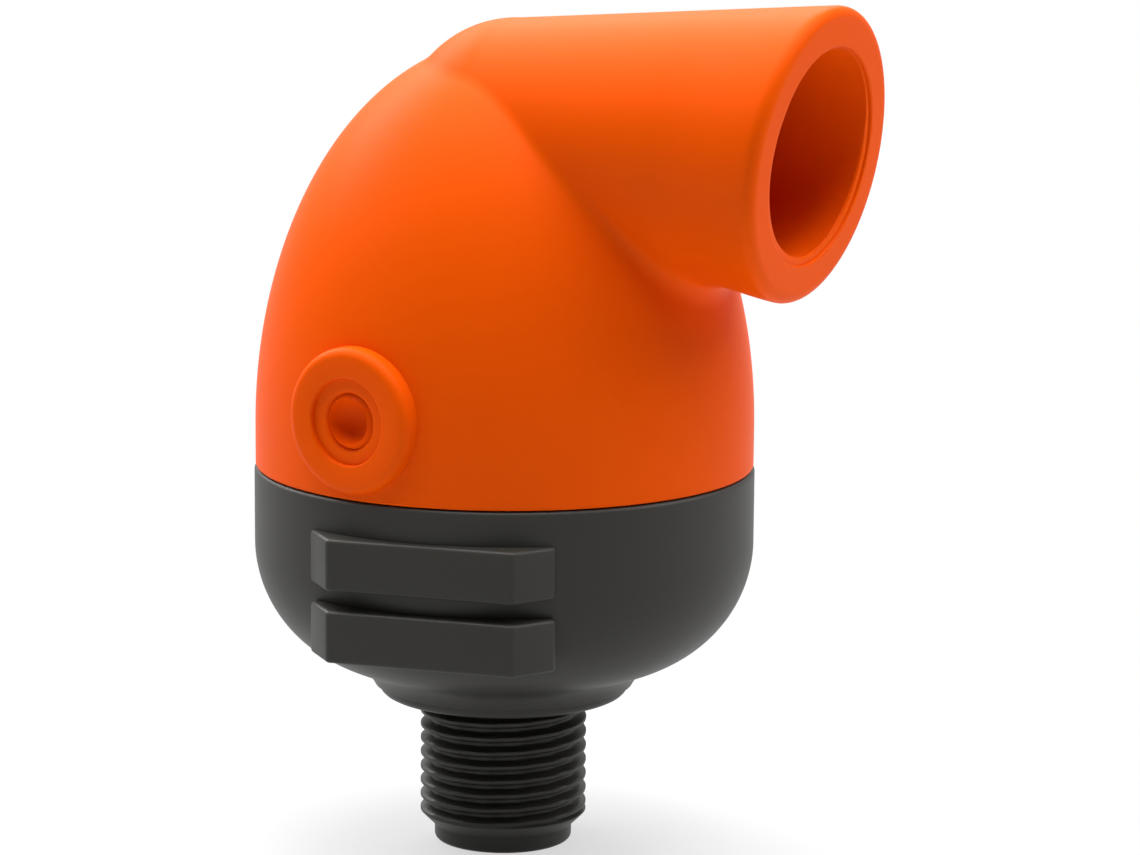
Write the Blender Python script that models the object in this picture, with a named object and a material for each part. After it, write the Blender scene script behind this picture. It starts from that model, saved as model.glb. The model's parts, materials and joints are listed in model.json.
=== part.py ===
"""Automatic air vent valve: a threaded base bowl, a dome cap with a side outlet, a float and lever inside.

Metres, +Z up. The origin is on the valve's axis at the end face of the threaded inlet, +X points along the
outlet and -Y to the side port. Everything is drawn at rest: cap screwed home, float down, vent open.
"""

import math

import bmesh
import bpy
import numpy as np
from mathutils import Matrix

# Clearances
SEAT_GAP = 0.0003
PIN_GAP = 0.0001
SLOT_GAP = 0.00025
SIDE_GAP = 0.0003

# Threaded inlet and collar
THREAD_RADIUS = 0.0104
THREAD_LENGTH = 0.0189
NOSE_RADIUS = 0.0086
NOSE_HEIGHT = 0.0020
NOSE_CHAMFER = 0.0017
NOSE_EDGE = 0.0006
INLET_BORE_RADIUS = 0.0065
COLLAR_RADIUS = 0.0160
COLLAR_THICKNESS = 0.0014
COLLAR_EDGE = 0.0006
COLLAR_FILLET = 0.0055

# Base bowl
BODY_RADIUS = 0.0310
BOWL_CORNER = 0.0162
BOWL_STRAIGHT = 0.0093
BOWL_RISE = 0.0035
BOWL_WALL = 0.0031
RIM_EDGE = 0.0010
GUIDE_LEDGE = 0.0031
SUMP_FLOOR = 0.0033
GUIDE_RECESS_DEPTH = 0.0006

# Spanner bars on the bowl
FLATS_TURN = math.radians(11.8)
BAR_PROUD = 0.0012
BAR_HALF_WIDTH = 0.01154
BAR_END_TURN = math.radians(51.4)
BAR_END_LENGTH = 0.0062
BAR_HEIGHT = 0.00585
LOWER_BAR_BOTTOM = 0.02894
BAR_GAP = 0.00264
BAR_EDGE = 0.0004
BAR_ROOT = 0.6

# Screw joint between cap and base
SPIGOT_WALL = 0.0024
SPIGOT_REACH = 0.0024
SPIGOT_CHAMFER = 0.0015
O_RING_SECTION = 0.0016
O_RING_SQUEEZE_ROOM = 0.0001
O_RING_POCKET_DEPTH = 0.0022

# Dome cap
CAP_SET_IN = 0.00015
DOME_STRAIGHT = 0.0048
DOME_RISE = 0.0470
CAP_WALL = 0.0036
CAVITY_HEIGHT = 0.0338

# Outlet elbow
OUTLET_PROUD = 0.0030
OUTLET_SLOPE = 0.0785
OUTLET_RADIUS = 0.0163
OUTLET_BACK = 0.0030
MOUTH_RADIUS = 0.0177
MOUTH_REACH = 0.0428
MOUTH_LEAN = math.radians(8.3)
FLARE_LENGTH = 0.0150
MOUTH_EDGE = 0.0020
BLEND_HIGH = 0.0015
BLEND_LOW = 0.0050
BLEND_DROP = 0.0280
OUTLET_BORE_RADIUS = 0.0122
OUTLET_TOP_WALL = 0.0050

# Blind side port on the dome
PORT_TURN = math.radians(-5.4)
PORT_HEIGHT = 0.0579
PORT_RADIUS = 0.0087
PORT_PROUD = 0.0010
PORT_EDGE = 0.0012
PORT_RECESS_RADIUS = 0.0049
PORT_RECESS_DEPTH = 0.0007
PORT_HOLE_RADIUS = 0.0018
PORT_HOLE_MOUTH = 0.0028
PORT_HOLE_DEPTH = 0.0031

# Vent seat in its stub under the outlet
STUB_RADIUS = 0.0060
STUB_LENGTH = 0.0036
SEAT_SHANK_RADIUS = 0.0033
SEAT_SHANK_LENGTH = 0.0050
SEAT_HEX = 0.0080
SEAT_FLANGE = 0.0013
NOZZLE_RADIUS = 0.0020
NOZZLE_LENGTH = 0.0014
VENT_RADIUS = 0.00125
SEAT_RING_SECTION = 0.0010
SEAT_RING_GROOVE = 0.0014
SEAT_RING_UP = 0.0020

# Lever, its bracket and pin
PIVOT_SHARE = 5.0 / 7.0
SEAT_ARM = 0.0087
FLOAT_TRAVEL = 0.0050
PIN_RADIUS = 0.0010
PIN_TAIL = 0.0007
PIN_GROOVE_DEPTH = 0.00025
LEVER_WIDTH = 0.0056
LEVER_THICKNESS = 0.0022
PIVOT_BOSS_RADIUS = 0.0028
PIVOT_BOSS_LENGTH = 0.0070
PAD_RADIUS = 0.0030
PAD_THICKNESS = 0.0015
PAD_PROUD = 0.0007
PAD_RIM = 0.0010
LINK_EYE_RADIUS = 0.0020
SHEET = 0.0010
EAR_HALF_WIDTH = 0.0025
BRACKET_HALF_WIDTH = 0.0035

# Bracket screws in their posts
SCREW_SPREAD = 0.0078
POST_RADIUS = 0.0030
SCREW_RADIUS = 0.0012
SCREW_LENGTH = 0.0070
SCREW_HEAD_RADIUS = 0.0022
SCREW_HEAD_HEIGHT = 0.0014
SCREW_SLOT = 0.0006
WASHER_THICKNESS = 0.0004
WASHER_OVERHANG = 0.0003

# Clips on both pins
CLIP_RADIUS = 0.0019
CLIP_THICKNESS = 0.0005
CLIP_MOUTH = math.radians(100.0)

# Float, stem and yoke
FLOAT_ROOM = 0.0042
FLOAT_WALL = 0.0010
FLOAT_CORNER = 0.0030
FLOAT_LIP = 0.0010
STEM_RADIUS = 0.0015
STEM_COLLAR_RADIUS = 0.0034
STEM_COLLAR = 0.0010
STEM_TAIL = 0.0090
STEM_TIP = 0.0003
SLEEVE_WALL = 0.0010
YOKE_DEPTH = 0.0058
YOKE_EAR_ABOVE = 0.0022
NUT_HEX = 0.0050
NUT_HEIGHT = 0.0014
STEM_WASHER_RADIUS = 0.0029

# Float guide in the base
GUIDE_INSET = 0.0007
GUIDE_RIM_WIDTH = 0.0020
GUIDE_HEIGHT = 0.0018
GUIDE_BUSH_WALL = 0.0016
GUIDE_BUSH_HEIGHT = 0.0049
GUIDE_ARM_WIDTH = 0.0022
GUIDE_ARMS = 3

# Mesh fineness
ROUND = 40
SMALL_ROUND = 20
PIN_ROUND = 16
PLAIN_ROUND = 24
FORM_VOXEL = 0.0014
FORM_FACES = 1300
WELD_DISTANCE = 0.000005
TINY = 1e-9

# Heights and places that follow from the sizes above
BOWL_CENTRE_RADIUS = BODY_RADIUS - BOWL_CORNER
BOWL_CENTRE_Z = THREAD_LENGTH + BOWL_RISE + BOWL_CORNER
BASE_HEIGHT = BOWL_CENTRE_Z + BOWL_STRAIGHT
FLOOR_Z = THREAD_LENGTH + BOWL_RISE + BOWL_WALL
GUIDE_RADIUS = BOWL_CENTRE_RADIUS - GUIDE_INSET
SUMP_RADIUS = GUIDE_RADIUS - GUIDE_LEDGE
SCREW_BORE_RADIUS = BODY_RADIUS - BOWL_WALL
SPIGOT_RADIUS = SCREW_BORE_RADIUS - SEAT_GAP
CAP_RADIUS = BODY_RADIUS - CAP_SET_IN
SHOULDER_Z = BASE_HEIGHT + SEAT_GAP
SPIGOT_END_Z = BOWL_CENTRE_Z - SPIGOT_REACH
SPIGOT_INSIDE = SPIGOT_RADIUS - SPIGOT_WALL
FLOAT_RADIUS = SPIGOT_INSIDE - FLOAT_ROOM
PIVOT_X = PIVOT_SHARE * SPIGOT_INSIDE
SEAT_X = PIVOT_X - SEAT_ARM
DOME_Z = SHOULDER_Z + DOME_STRAIGHT
OUTLET_TOP_Z = DOME_Z + DOME_RISE + OUTLET_PROUD
PORT_FACE = CAP_RADIUS + PORT_PROUD
SEAT_GROOVE_RADIUS = SEAT_SHANK_RADIUS + SEAT_GAP - SEAT_RING_SECTION - 2.0 * PIN_GAP


def outlet_top(x):
    """Height of the elbow's straight back line at x."""
    return OUTLET_TOP_Z + OUTLET_SLOPE * x


def outlet_radius(x):
    """The elbow's radius at x: it flares smoothly over the last stretch before the mouth."""
    share = np.clip((x - (MOUTH_REACH - FLARE_LENGTH)) / FLARE_LENGTH, 0.0, 1.0)
    return OUTLET_RADIUS + (MOUTH_RADIUS - OUTLET_RADIUS) * share * share * (3.0 - 2.0 * share)


def bore_centre(x):
    """Height of the outlet bore's centre line at x."""
    return outlet_top(x) - OUTLET_TOP_WALL - OUTLET_BORE_RADIUS


MECHANISM_Z = outlet_top(SEAT_X) - 2.0 * OUTLET_RADIUS - STUB_LENGTH
NOZZLE_TIP_Z = MECHANISM_Z - SEAT_GAP - SEAT_FLANGE - NOZZLE_LENGTH
LEVER_TOP_Z = NOZZLE_TIP_Z - SEAT_GAP - PAD_PROUD
PIVOT_Z = LEVER_TOP_Z - LEVER_THICKNESS / 2.0
LEVER_SWING = math.atan2(FLOAT_TRAVEL, PIVOT_X)
LINK_Z = PIVOT_Z - FLOAT_TRAVEL
EAR_INSIDE = PIVOT_BOSS_LENGTH / 2.0 + SIDE_GAP
YOKE_PLATE_Z = LINK_Z - YOKE_DEPTH - SHEET
FLOAT_TOP_Z = YOKE_PLATE_Z - SEAT_GAP
GUIDE_Z = FLOOR_Z - GUIDE_RECESS_DEPTH + SEAT_GAP
GUIDE_TOP_Z = GUIDE_Z + GUIDE_BUSH_HEIGHT
STEM_COLLAR_TOP_Z = GUIDE_TOP_Z + SEAT_GAP + STEM_COLLAR
FLOAT_BOTTOM_Z = STEM_COLLAR_TOP_Z + SEAT_GAP
FLOAT_HEIGHT = FLOAT_TOP_Z - FLOAT_BOTTOM_Z


def clear_scene():
    for obj in list(bpy.data.objects):
        bpy.data.objects.remove(obj, do_unlink=True)


def material(name, colour, roughness, metallic=0.0):
    made = bpy.data.materials.new(name)
    made.use_nodes = True
    shader = made.node_tree.nodes["Principled BSDF"]
    shader.inputs["Base Color"].default_value = (*colour, 1.0)
    shader.inputs["Roughness"].default_value = roughness
    shader.inputs["Metallic"].default_value = metallic
    return made


def shade(mesh):
    mesh.shade_smooth()
    mesh.set_sharp_from_angle(angle=math.radians(32.0))


def add_object(name, mesh, finish=None, parent=None):
    """Links a mesh as a node of the valve. Without a finish it is a hidden cutter or helper."""
    obj = bpy.data.objects.new(name, mesh)
    bpy.context.scene.collection.objects.link(obj)
    shade(mesh)
    if finish is None:
        obj.hide_render = True
        obj.display_type = "WIRE"
    else:
        mesh.materials.append(finish)
    if parent is not None:
        obj.parent = parent
    return obj


def add_pivot(name, location, turn=0.0):
    """An empty on a joint's axis, turned about Y, that carries a moving group."""
    pivot = bpy.data.objects.new(name, None)
    pivot.location = location
    pivot.rotation_euler = (0.0, turn, 0.0)
    bpy.context.scene.collection.objects.link(pivot)
    return pivot


def mesh_of(name, shape):
    """Turns a bmesh into a mesh with its faces pointing out."""
    bmesh.ops.recalc_face_normals(shape, faces=shape.faces)
    mesh = bpy.data.meshes.new(name)
    shape.to_mesh(mesh)
    shape.free()
    return mesh


def arc(centre_r, centre_z, radius, start, end, count):
    """Points on a circle from one angle to another, in degrees, both ends included."""
    angles = [math.radians(start + (end - start) * i / count) for i in range(count + 1)]
    return [(centre_r + radius * math.cos(a), centre_z + radius * math.sin(a)) for a in angles]


def turned(name, profile, steps=SMALL_ROUND):
    """A closed profile of (radius, height) points turned round the Z axis."""
    shape = bmesh.new()
    rings = []
    for radius, height in profile:
        if radius < TINY:
            rings.append([shape.verts.new((0.0, 0.0, height))] * steps)
            continue
        angles = [2.0 * math.pi * i / steps for i in range(steps)]
        rings.append([shape.verts.new((radius * math.cos(a), radius * math.sin(a), height)) for a in angles])
    for ring, following in zip(rings, rings[1:] + rings[:1]):
        for i in range(steps):
            corners = [ring[i], ring[(i + 1) % steps], following[(i + 1) % steps], following[i]]
            corners = [v for k, v in enumerate(corners) if v not in corners[:k]]
            if len(corners) > 2:
                shape.faces.new(corners)
    return mesh_of(name, shape)


def prism(name, outline, low, high, edge=0.0):
    """A closed outline of (x, y) points raised from one height to another, its edges broken by a bevel."""
    shape = bmesh.new()
    corners = [shape.verts.new((x, y, low)) for x, y in outline]
    bottom = shape.faces.new(corners)
    raised = bmesh.ops.extrude_face_region(shape, geom=[bottom])
    top = [v for v in raised["geom"] if isinstance(v, bmesh.types.BMVert)]
    bmesh.ops.translate(shape, verts=top, vec=(0.0, 0.0, high - low))
    if edge > 0.0:
        bmesh.ops.bevel(shape, geom=shape.edges[:], offset=edge, segments=1, affect="EDGES")
    return mesh_of(name, shape)


def box(name, low, high):
    outline = [(low[0], low[1]), (high[0], low[1]), (high[0], high[1]), (low[0], high[1])]
    return prism(name, outline, low[2], high[2])


def stadium(x_from, x_to, radius, count=8):
    """The outline of a bar with round ends along X, about y = 0."""
    right = arc(x_to, 0.0, radius, -90.0, 90.0, count)
    left = arc(x_from, 0.0, radius, 90.0, 270.0, count)
    return right + left


def hexagon(across_flats):
    corner = across_flats / math.sqrt(3.0)
    return arc(0.0, 0.0, corner, 0.0, 300.0, 5)


def moved(mesh, x=0.0, y=0.0, z=0.0, stand="Z"):
    """Lays a mesh's Z axis along Y when asked, then moves it."""
    if stand == "Y":
        mesh.transform(Matrix.Rotation(math.radians(-90.0), 4, "X"))
    mesh.transform(Matrix.Translation((x, y, z)))
    return mesh


def across(name, outline, y_from, y_to):
    """An outline of (x, z) points raised along Y."""
    mesh = prism(name, [(x, -z) for x, z in outline], y_from, y_to)
    mesh.transform(Matrix.Rotation(math.radians(-90.0), 4, "X"))
    return mesh


def combine(obj, operation, meshes):
    """Applies one Boolean for each helper mesh, in order, and cleans the result after each."""
    for mesh in meshes:
        helper = add_object("helper_" + mesh.name, mesh, parent=obj.parent)
        step = obj.modifiers.new(mesh.name, "BOOLEAN")
        step.operation = operation
        step.solver = "EXACT"
        step.object = helper
        obj.data = evaluated(obj, obj.name)
        obj.modifiers.clear()
    shade(obj.data)
    return obj


def join(obj, *meshes):
    return combine(obj, "UNION", meshes)


def cut(obj, *meshes):
    return combine(obj, "DIFFERENCE", meshes)


def bowl_outside():
    """The base's outer profile, from the nose up to the rim and back to the axis."""
    fillet_r = COLLAR_RADIUS + COLLAR_FILLET
    reach = BOWL_CORNER + COLLAR_FILLET
    fillet_z = BOWL_CENTRE_Z - math.sqrt(reach**2 - (fillet_r - BOWL_CENTRE_RADIUS) ** 2)
    slope = math.degrees(math.atan2(BOWL_CENTRE_Z - fillet_z, BOWL_CENTRE_RADIUS - fillet_r))
    collar_top = max(fillet_z, THREAD_LENGTH + COLLAR_THICKNESS)
    start = 180.0 - math.degrees(math.asin((collar_top - fillet_z) / COLLAR_FILLET))
    points = [(0.0, 0.0), (NOSE_RADIUS - NOSE_EDGE, 0.0), (NOSE_RADIUS, NOSE_EDGE)]
    points += [(NOSE_RADIUS, NOSE_HEIGHT), (THREAD_RADIUS, NOSE_HEIGHT + NOSE_CHAMFER)]
    points += [(THREAD_RADIUS, THREAD_LENGTH)]
    points += [(COLLAR_RADIUS - COLLAR_EDGE, THREAD_LENGTH), (COLLAR_RADIUS, THREAD_LENGTH + COLLAR_EDGE)]
    points += arc(fillet_r, fillet_z, COLLAR_FILLET, start, slope, 3)
    points += arc(BOWL_CENTRE_RADIUS, BOWL_CENTRE_Z, BOWL_CORNER, slope - 180.0, 0.0, 9)[1:]
    rim_z = BASE_HEIGHT - RIM_EDGE
    points += arc(BODY_RADIUS - RIM_EDGE, rim_z, RIM_EDGE, 0.0, 90.0, 2)
    return points + [(0.0, BASE_HEIGHT)]


def bowl_inside():
    """What the base is hollowed by: inlet bore, sump, guide ledge, bowl, screw bore and seal pocket."""
    ledge = GUIDE_RADIUS + SEAT_GAP
    pocket = SPIGOT_RADIUS + O_RING_SECTION + 2.0 * O_RING_SQUEEZE_ROOM
    above = BASE_HEIGHT + BOWL_WALL
    points = [(0.0, -BOWL_WALL), (INLET_BORE_RADIUS, -BOWL_WALL)]
    points += [(INLET_BORE_RADIUS, THREAD_LENGTH + SUMP_FLOOR), (SUMP_RADIUS, THREAD_LENGTH + SUMP_FLOOR)]
    points += [(SUMP_RADIUS, FLOOR_Z - GUIDE_RECESS_DEPTH), (ledge, FLOOR_Z - GUIDE_RECESS_DEPTH)]
    points += [(ledge, FLOOR_Z)]
    points += arc(BOWL_CENTRE_RADIUS, BOWL_CENTRE_Z, BOWL_CORNER - BOWL_WALL, -90.0, 0.0, 6)
    pocket_z = BASE_HEIGHT - O_RING_POCKET_DEPTH
    points += [(SCREW_BORE_RADIUS, pocket_z), (pocket, pocket_z)]
    return points + [(pocket, above), (0.0, above)]


def spanner_bar(name, bottom, turn):
    """One raised bar with a flat middle and two turned-back ends, reaching into the bowl's wall."""
    face = BODY_RADIUS + BAR_PROUD
    end = (
        BAR_HALF_WIDTH + BAR_END_LENGTH * math.cos(BAR_END_TURN),
        face - BAR_END_LENGTH * math.sin(BAR_END_TURN),
    )
    root = (end[0] * BAR_ROOT, end[1] * BAR_ROOT)
    outline = [(-BAR_HALF_WIDTH, -face), (BAR_HALF_WIDTH, -face), (end[0], -end[1])]
    outline += [(root[0], -root[1]), (-root[0], -root[1]), (-end[0], -end[1])]
    mesh = prism(name, outline, bottom, bottom + BAR_HEIGHT, BAR_EDGE)
    mesh.transform(Matrix.Rotation(turn, 4, "Z"))
    return mesh


def add_base(finish):
    base = add_object("base_body", turned("base_body", bowl_outside(), ROUND), finish)
    upper = LOWER_BAR_BOTTOM + BAR_HEIGHT + BAR_GAP
    for side, half_turn in (("front", 0.0), ("back", math.pi)):
        for level, bottom in (("lower", LOWER_BAR_BOTTOM), ("upper", upper)):
            join(base, spanner_bar(f"{side}_{level}_bar", bottom, FLATS_TURN + half_turn))
    cut(base, turned("bowl_hollow", bowl_inside(), ROUND))


def distance_to_dome(points):
    """First-order distance to the dome: a straight skirt with half an ellipsoid on it."""
    radius = np.hypot(points[:, 0], points[:, 1])
    rise = np.maximum(points[:, 2] - DOME_Z, 0.0)
    level = np.sqrt((radius / CAP_RADIUS) ** 2 + (rise / DOME_RISE) ** 2) + TINY
    steepness = np.sqrt((radius / CAP_RADIUS**2) ** 2 + (rise / DOME_RISE**2) ** 2) / level
    return (level - 1.0) / (steepness + TINY)


def distance_to_elbow(points):
    """Distance to the elbow: a tube under a straight back line, with a ball at its inner end."""
    x = np.maximum(points[:, 0], OUTLET_BACK)
    radius = outlet_radius(x)
    drop = points[:, 2] - (outlet_top(x) - radius)
    behind = np.minimum(points[:, 0] - OUTLET_BACK, 0.0)
    return np.sqrt(behind**2 + points[:, 1] ** 2 + drop**2) - radius


def filleted_union(first, second, radius):
    inside = np.hypot(np.maximum(radius - first, 0.0), np.maximum(radius - second, 0.0))
    return np.maximum(radius, np.minimum(first, second)) - inside


def blend_radius(points):
    """The fillet between dome and elbow, tight on top and wider towards the underside."""
    top = DOME_Z + DOME_RISE - BLEND_HIGH
    share = np.clip((top - points[:, 2]) / BLEND_DROP, 0.0, 1.0)
    return BLEND_HIGH + (BLEND_LOW - BLEND_HIGH) * share


def cap_form(points):
    """Signed distance to the cap's outside: dome and elbow with a fillet between."""
    return filleted_union(distance_to_dome(points), distance_to_elbow(points), blend_radius(points))


def drawn_onto_form(points, rounds=6):
    """Moves points along the form's slope until they lie on its surface."""
    probe = 1e-5
    for _ in range(rounds):
        value = cap_form(points)
        slope = np.stack([(cap_form(points + probe * axis) - value) / probe for axis in np.eye(3)], axis=1)
        step = value / np.maximum((slope**2).sum(axis=1), 0.1)
        points = points - slope * step[:, None]
    return points


def snap_to_form(mesh):
    points = np.empty(len(mesh.vertices) * 3, np.float32)
    mesh.vertices.foreach_get("co", points)
    points = points.reshape(-1, 3).astype(np.float64)
    free = (points[:, 2] > SPIGOT_END_Z - CAP_WALL / 2.0) & (points[:, 0] < MOUTH_REACH + MOUTH_RADIUS / 3.0)
    points[free] = drawn_onto_form(points[free])
    mesh.vertices.foreach_set("co", points.astype(np.float32).ravel())
    mesh.update()


def lofted(name, stations, steps=ROUND):
    """A tube through circles that stand across X: each station is (x, centre height, radius)."""
    shape = bmesh.new()
    rings = []
    for x, centre, radius in stations:
        angles = [2.0 * math.pi * i / steps for i in range(steps)]
        ring = [(x, radius * math.cos(a), centre + radius * math.sin(a)) for a in angles]
        rings.append([shape.verts.new(point) for point in ring])
    for ring, following in zip(rings, rings[1:]):
        for i in range(steps):
            shape.faces.new([ring[i], ring[(i + 1) % steps], following[(i + 1) % steps], following[i]])
    shape.faces.new(rings[0])
    shape.faces.new(rings[-1])
    return mesh_of(name, shape)


def ball_end(centre_height, radius, count=6):
    """Stations of the round inner end of a tube, from its tip to its full radius."""
    stations = []
    for i in range(1, count):
        angle = math.radians(90.0 * i / count)
        stations.append((OUTLET_BACK - radius * math.cos(angle), centre_height, radius * math.sin(angle)))
    return stations


def elbow_outside(name, past_mouth):
    """The elbow as a plain solid, a helper for the form and for the mould core."""
    stations = ball_end(outlet_top(OUTLET_BACK) - OUTLET_RADIUS, OUTLET_RADIUS)
    for i in range(9):
        x = OUTLET_BACK + (MOUTH_REACH + past_mouth - OUTLET_BACK) * i / 8.0
        radius = float(outlet_radius(x))
        stations.append((x, outlet_top(x) - radius, radius))
    return lofted(name, stations)


def outlet_bore():
    stations = ball_end(bore_centre(OUTLET_BACK), OUTLET_BORE_RADIUS)
    far = MOUTH_REACH + MOUTH_RADIUS
    stations += [(x, bore_centre(x), OUTLET_BORE_RADIUS) for x in (OUTLET_BACK, far)]
    return lofted("outlet_bore", stations)


def dome_profile(radius, rise, low_z, count=10):
    """A solid dome's profile from the axis at the bottom, out, and up over to the axis."""
    points = [(0.0, low_z), (radius, low_z)]
    for i in range(count + 1):
        angle = math.radians(90.0 * i / count)
        points.append((radius * math.cos(angle), DOME_Z + rise * math.sin(angle)))
    points[-1] = (0.0, DOME_Z + rise)
    return points


def blended_outside():
    """The cap's outside as one even mesh: dome and elbow fused, drawn onto the form, then thinned out."""
    rough = bmesh.new()
    for source in (
        turned("dome", dome_profile(CAP_RADIUS, DOME_RISE, SPIGOT_END_Z - CAP_WALL), ROUND),
        elbow_outside("elbow", MOUTH_RADIUS / 2.0),
    ):
        rough.from_mesh(source)
    helper = add_object("helper_form", mesh_of("form", rough))
    fuse = helper.modifiers.new("fuse", "REMESH")
    fuse.mode = "VOXEL"
    fuse.voxel_size = FORM_VOXEL
    form = evaluated(helper, "cap_outside")
    snap_to_form(form)
    helper.modifiers.clear()
    helper.data = form
    thin = helper.modifiers.new("thin", "DECIMATE")
    thin.ratio = FORM_FACES / len(form.polygons)
    form = evaluated(helper, "cap_outside")
    snap_to_form(form)
    bpy.data.objects.remove(helper)
    return form


def evaluated(obj, name):
    """The object's mesh with its modifiers applied, in triangles and without doubled points."""
    graph = bpy.context.evaluated_depsgraph_get()
    mesh = bpy.data.meshes.new_from_object(obj.evaluated_get(graph))
    mesh.name = name
    shape = bmesh.new()
    shape.from_mesh(mesh)
    bmesh.ops.remove_doubles(shape, verts=shape.verts, dist=WELD_DISTANCE)
    bmesh.ops.dissolve_degenerate(shape, edges=shape.edges, dist=WELD_DISTANCE)
    bmesh.ops.triangulate(shape, faces=shape.faces)
    shape.to_mesh(mesh)
    shape.free()
    return mesh


def beyond_mouth():
    """What is cut off at the mouth's leaning plane, with the mouth's outer edge broken in two steps."""
    edge = MOUTH_EDGE
    middle = edge * (1.0 - math.sqrt(0.5))
    over = edge * 0.4
    far = 4.0 * MOUTH_RADIUS
    points = [(0.0, 0.0), (MOUTH_RADIUS - edge, 0.0), (MOUTH_RADIUS - middle, -middle)]
    points += [(MOUTH_RADIUS + over * math.tan(math.radians(22.5)), -edge - over)]
    points += [(MOUTH_RADIUS + edge, -edge - over), (MOUTH_RADIUS + edge, far), (0.0, far)]
    mesh = turned("beyond_mouth", points, ROUND)
    mesh.transform(Matrix.Rotation(math.radians(90.0) + MOUTH_LEAN, 4, "Y"))
    return moved(mesh, MOUTH_REACH, 0.0, outlet_top(MOUTH_REACH) - MOUTH_RADIUS)


def below_shoulder():
    """What is cut from the cap below its shoulder: all but the screwed spigot."""
    outer = CAP_RADIUS + CAP_WALL
    low = SPIGOT_END_Z - 2.0 * CAP_WALL
    points = [(0.0, low), (outer, low), (outer, SHOULDER_Z), (SPIGOT_RADIUS, SHOULDER_Z)]
    points += [(SPIGOT_RADIUS, SPIGOT_END_Z + SPIGOT_CHAMFER), (SPIGOT_RADIUS - SPIGOT_CHAMFER, SPIGOT_END_Z)]
    return turned("below_shoulder", points + [(0.0, SPIGOT_END_Z)], ROUND)


def mould_core():
    """The cap's hollow: as wide as the spigot inside, then following the dome, with room left for the elbow,
    the seat's stub and the bracket's posts, which stay solid.
    """
    inner = CAP_RADIUS - CAP_WALL
    rise = DOME_RISE - CAP_WALL
    top_z = SHOULDER_Z + CAVITY_HEIGHT
    last = math.degrees(math.asin((top_z - DOME_Z) / rise))
    first = math.degrees(math.acos(SPIGOT_INSIDE / inner))
    points = [(0.0, SPIGOT_END_Z - CAP_WALL), (SPIGOT_INSIDE, SPIGOT_END_Z - CAP_WALL)]
    for i in range(7):
        angle = math.radians(first + (last - first) * i / 6.0)
        points.append((inner * math.cos(angle), DOME_Z + rise * math.sin(angle)))
    core = add_object("helper_core", turned("core", points + [(0.0, top_z)], ROUND))
    above = top_z + CAP_WALL
    stub = moved(turned("stub", rod(STUB_RADIUS, MECHANISM_Z, above)), SEAT_X)
    posts = [moved(turned(f"post_{side}", rod(POST_RADIUS, MECHANISM_Z, above)), PIVOT_X, y)
             for side, y in (("front", -SCREW_SPREAD), ("back", SCREW_SPREAD))]
    cut(core, elbow_outside("elbow_in_core", CAP_WALL), stub, *posts)
    return evaluated(core, "mould_core")


def rod(radius, low, high):
    return [(0.0, low), (radius, low), (radius, high), (0.0, high)]


def port_cutter():
    """The blind port's recess and hole, on the port's own axis."""
    recess = PORT_FACE - PORT_RECESS_DEPTH
    past = PORT_FACE + PORT_RADIUS
    hole = [(0.0, PORT_FACE - PORT_HOLE_DEPTH), (PORT_HOLE_RADIUS, PORT_FACE - PORT_HOLE_DEPTH)]
    hole += [(PORT_HOLE_MOUTH, recess)]
    hole += [(PORT_RECESS_RADIUS, recess), (PORT_RECESS_RADIUS, past), (0.0, past)]
    return on_port_axis(turned("port_recess", hole, PLAIN_ROUND))


def port_boss():
    inside = CAP_RADIUS - CAP_WALL / 2.0
    points = [(0.0, inside), (PORT_RADIUS, inside)]
    points += arc(PORT_RADIUS - PORT_EDGE, PORT_FACE - PORT_EDGE, PORT_EDGE, 0.0, 90.0, 2)
    return on_port_axis(turned("port_boss", points + [(0.0, PORT_FACE)], PLAIN_ROUND))


def on_port_axis(mesh):
    """Lays a mesh's Z axis along -Y, turns it to the port and lifts it to the port's height."""
    mesh.transform(Matrix.Rotation(math.radians(90.0), 4, "X"))
    mesh.transform(Matrix.Rotation(PORT_TURN, 4, "Z"))
    mesh.transform(Matrix.Translation((0.0, 0.0, PORT_HEIGHT)))
    return mesh


def seat_pocket():
    """The stub's bore for the seat's shank and the small vent hole on into the outlet."""
    wide = SEAT_SHANK_RADIUS + SEAT_GAP
    top = MECHANISM_Z + SEAT_SHANK_LENGTH
    past = bore_centre(SEAT_X)
    points = [(0.0, MECHANISM_Z - STUB_LENGTH), (wide, MECHANISM_Z - STUB_LENGTH), (wide, top)]
    points += [(VENT_RADIUS, top), (VENT_RADIUS, past), (0.0, past)]
    return moved(turned("seat_pocket", points), SEAT_X)


def pilot_holes():
    """Blind holes for the bracket's screws."""
    top = MECHANISM_Z + SCREW_LENGTH
    points = rod(SCREW_RADIUS + PIN_GAP, MECHANISM_Z - STUB_LENGTH, top)
    sides = (("front", -SCREW_SPREAD), ("back", SCREW_SPREAD))
    return [moved(turned(f"pilot_{side}", points, PIN_ROUND), PIVOT_X, y) for side, y in sides]


def add_cap(finish, cap_pivot):
    cap = add_object("dome_cap", blended_outside(), finish, cap_pivot)
    join(cap, port_boss())
    cut(cap, below_shoulder(), beyond_mouth(), mould_core(), outlet_bore())
    cut(cap, seat_pocket(), *pilot_holes(), port_cutter())


def ring_section(radius, centre_z, section, count=8):
    return arc(radius, centre_z, section / 2.0, 0.0, 360.0, count)[:-1]


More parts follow.
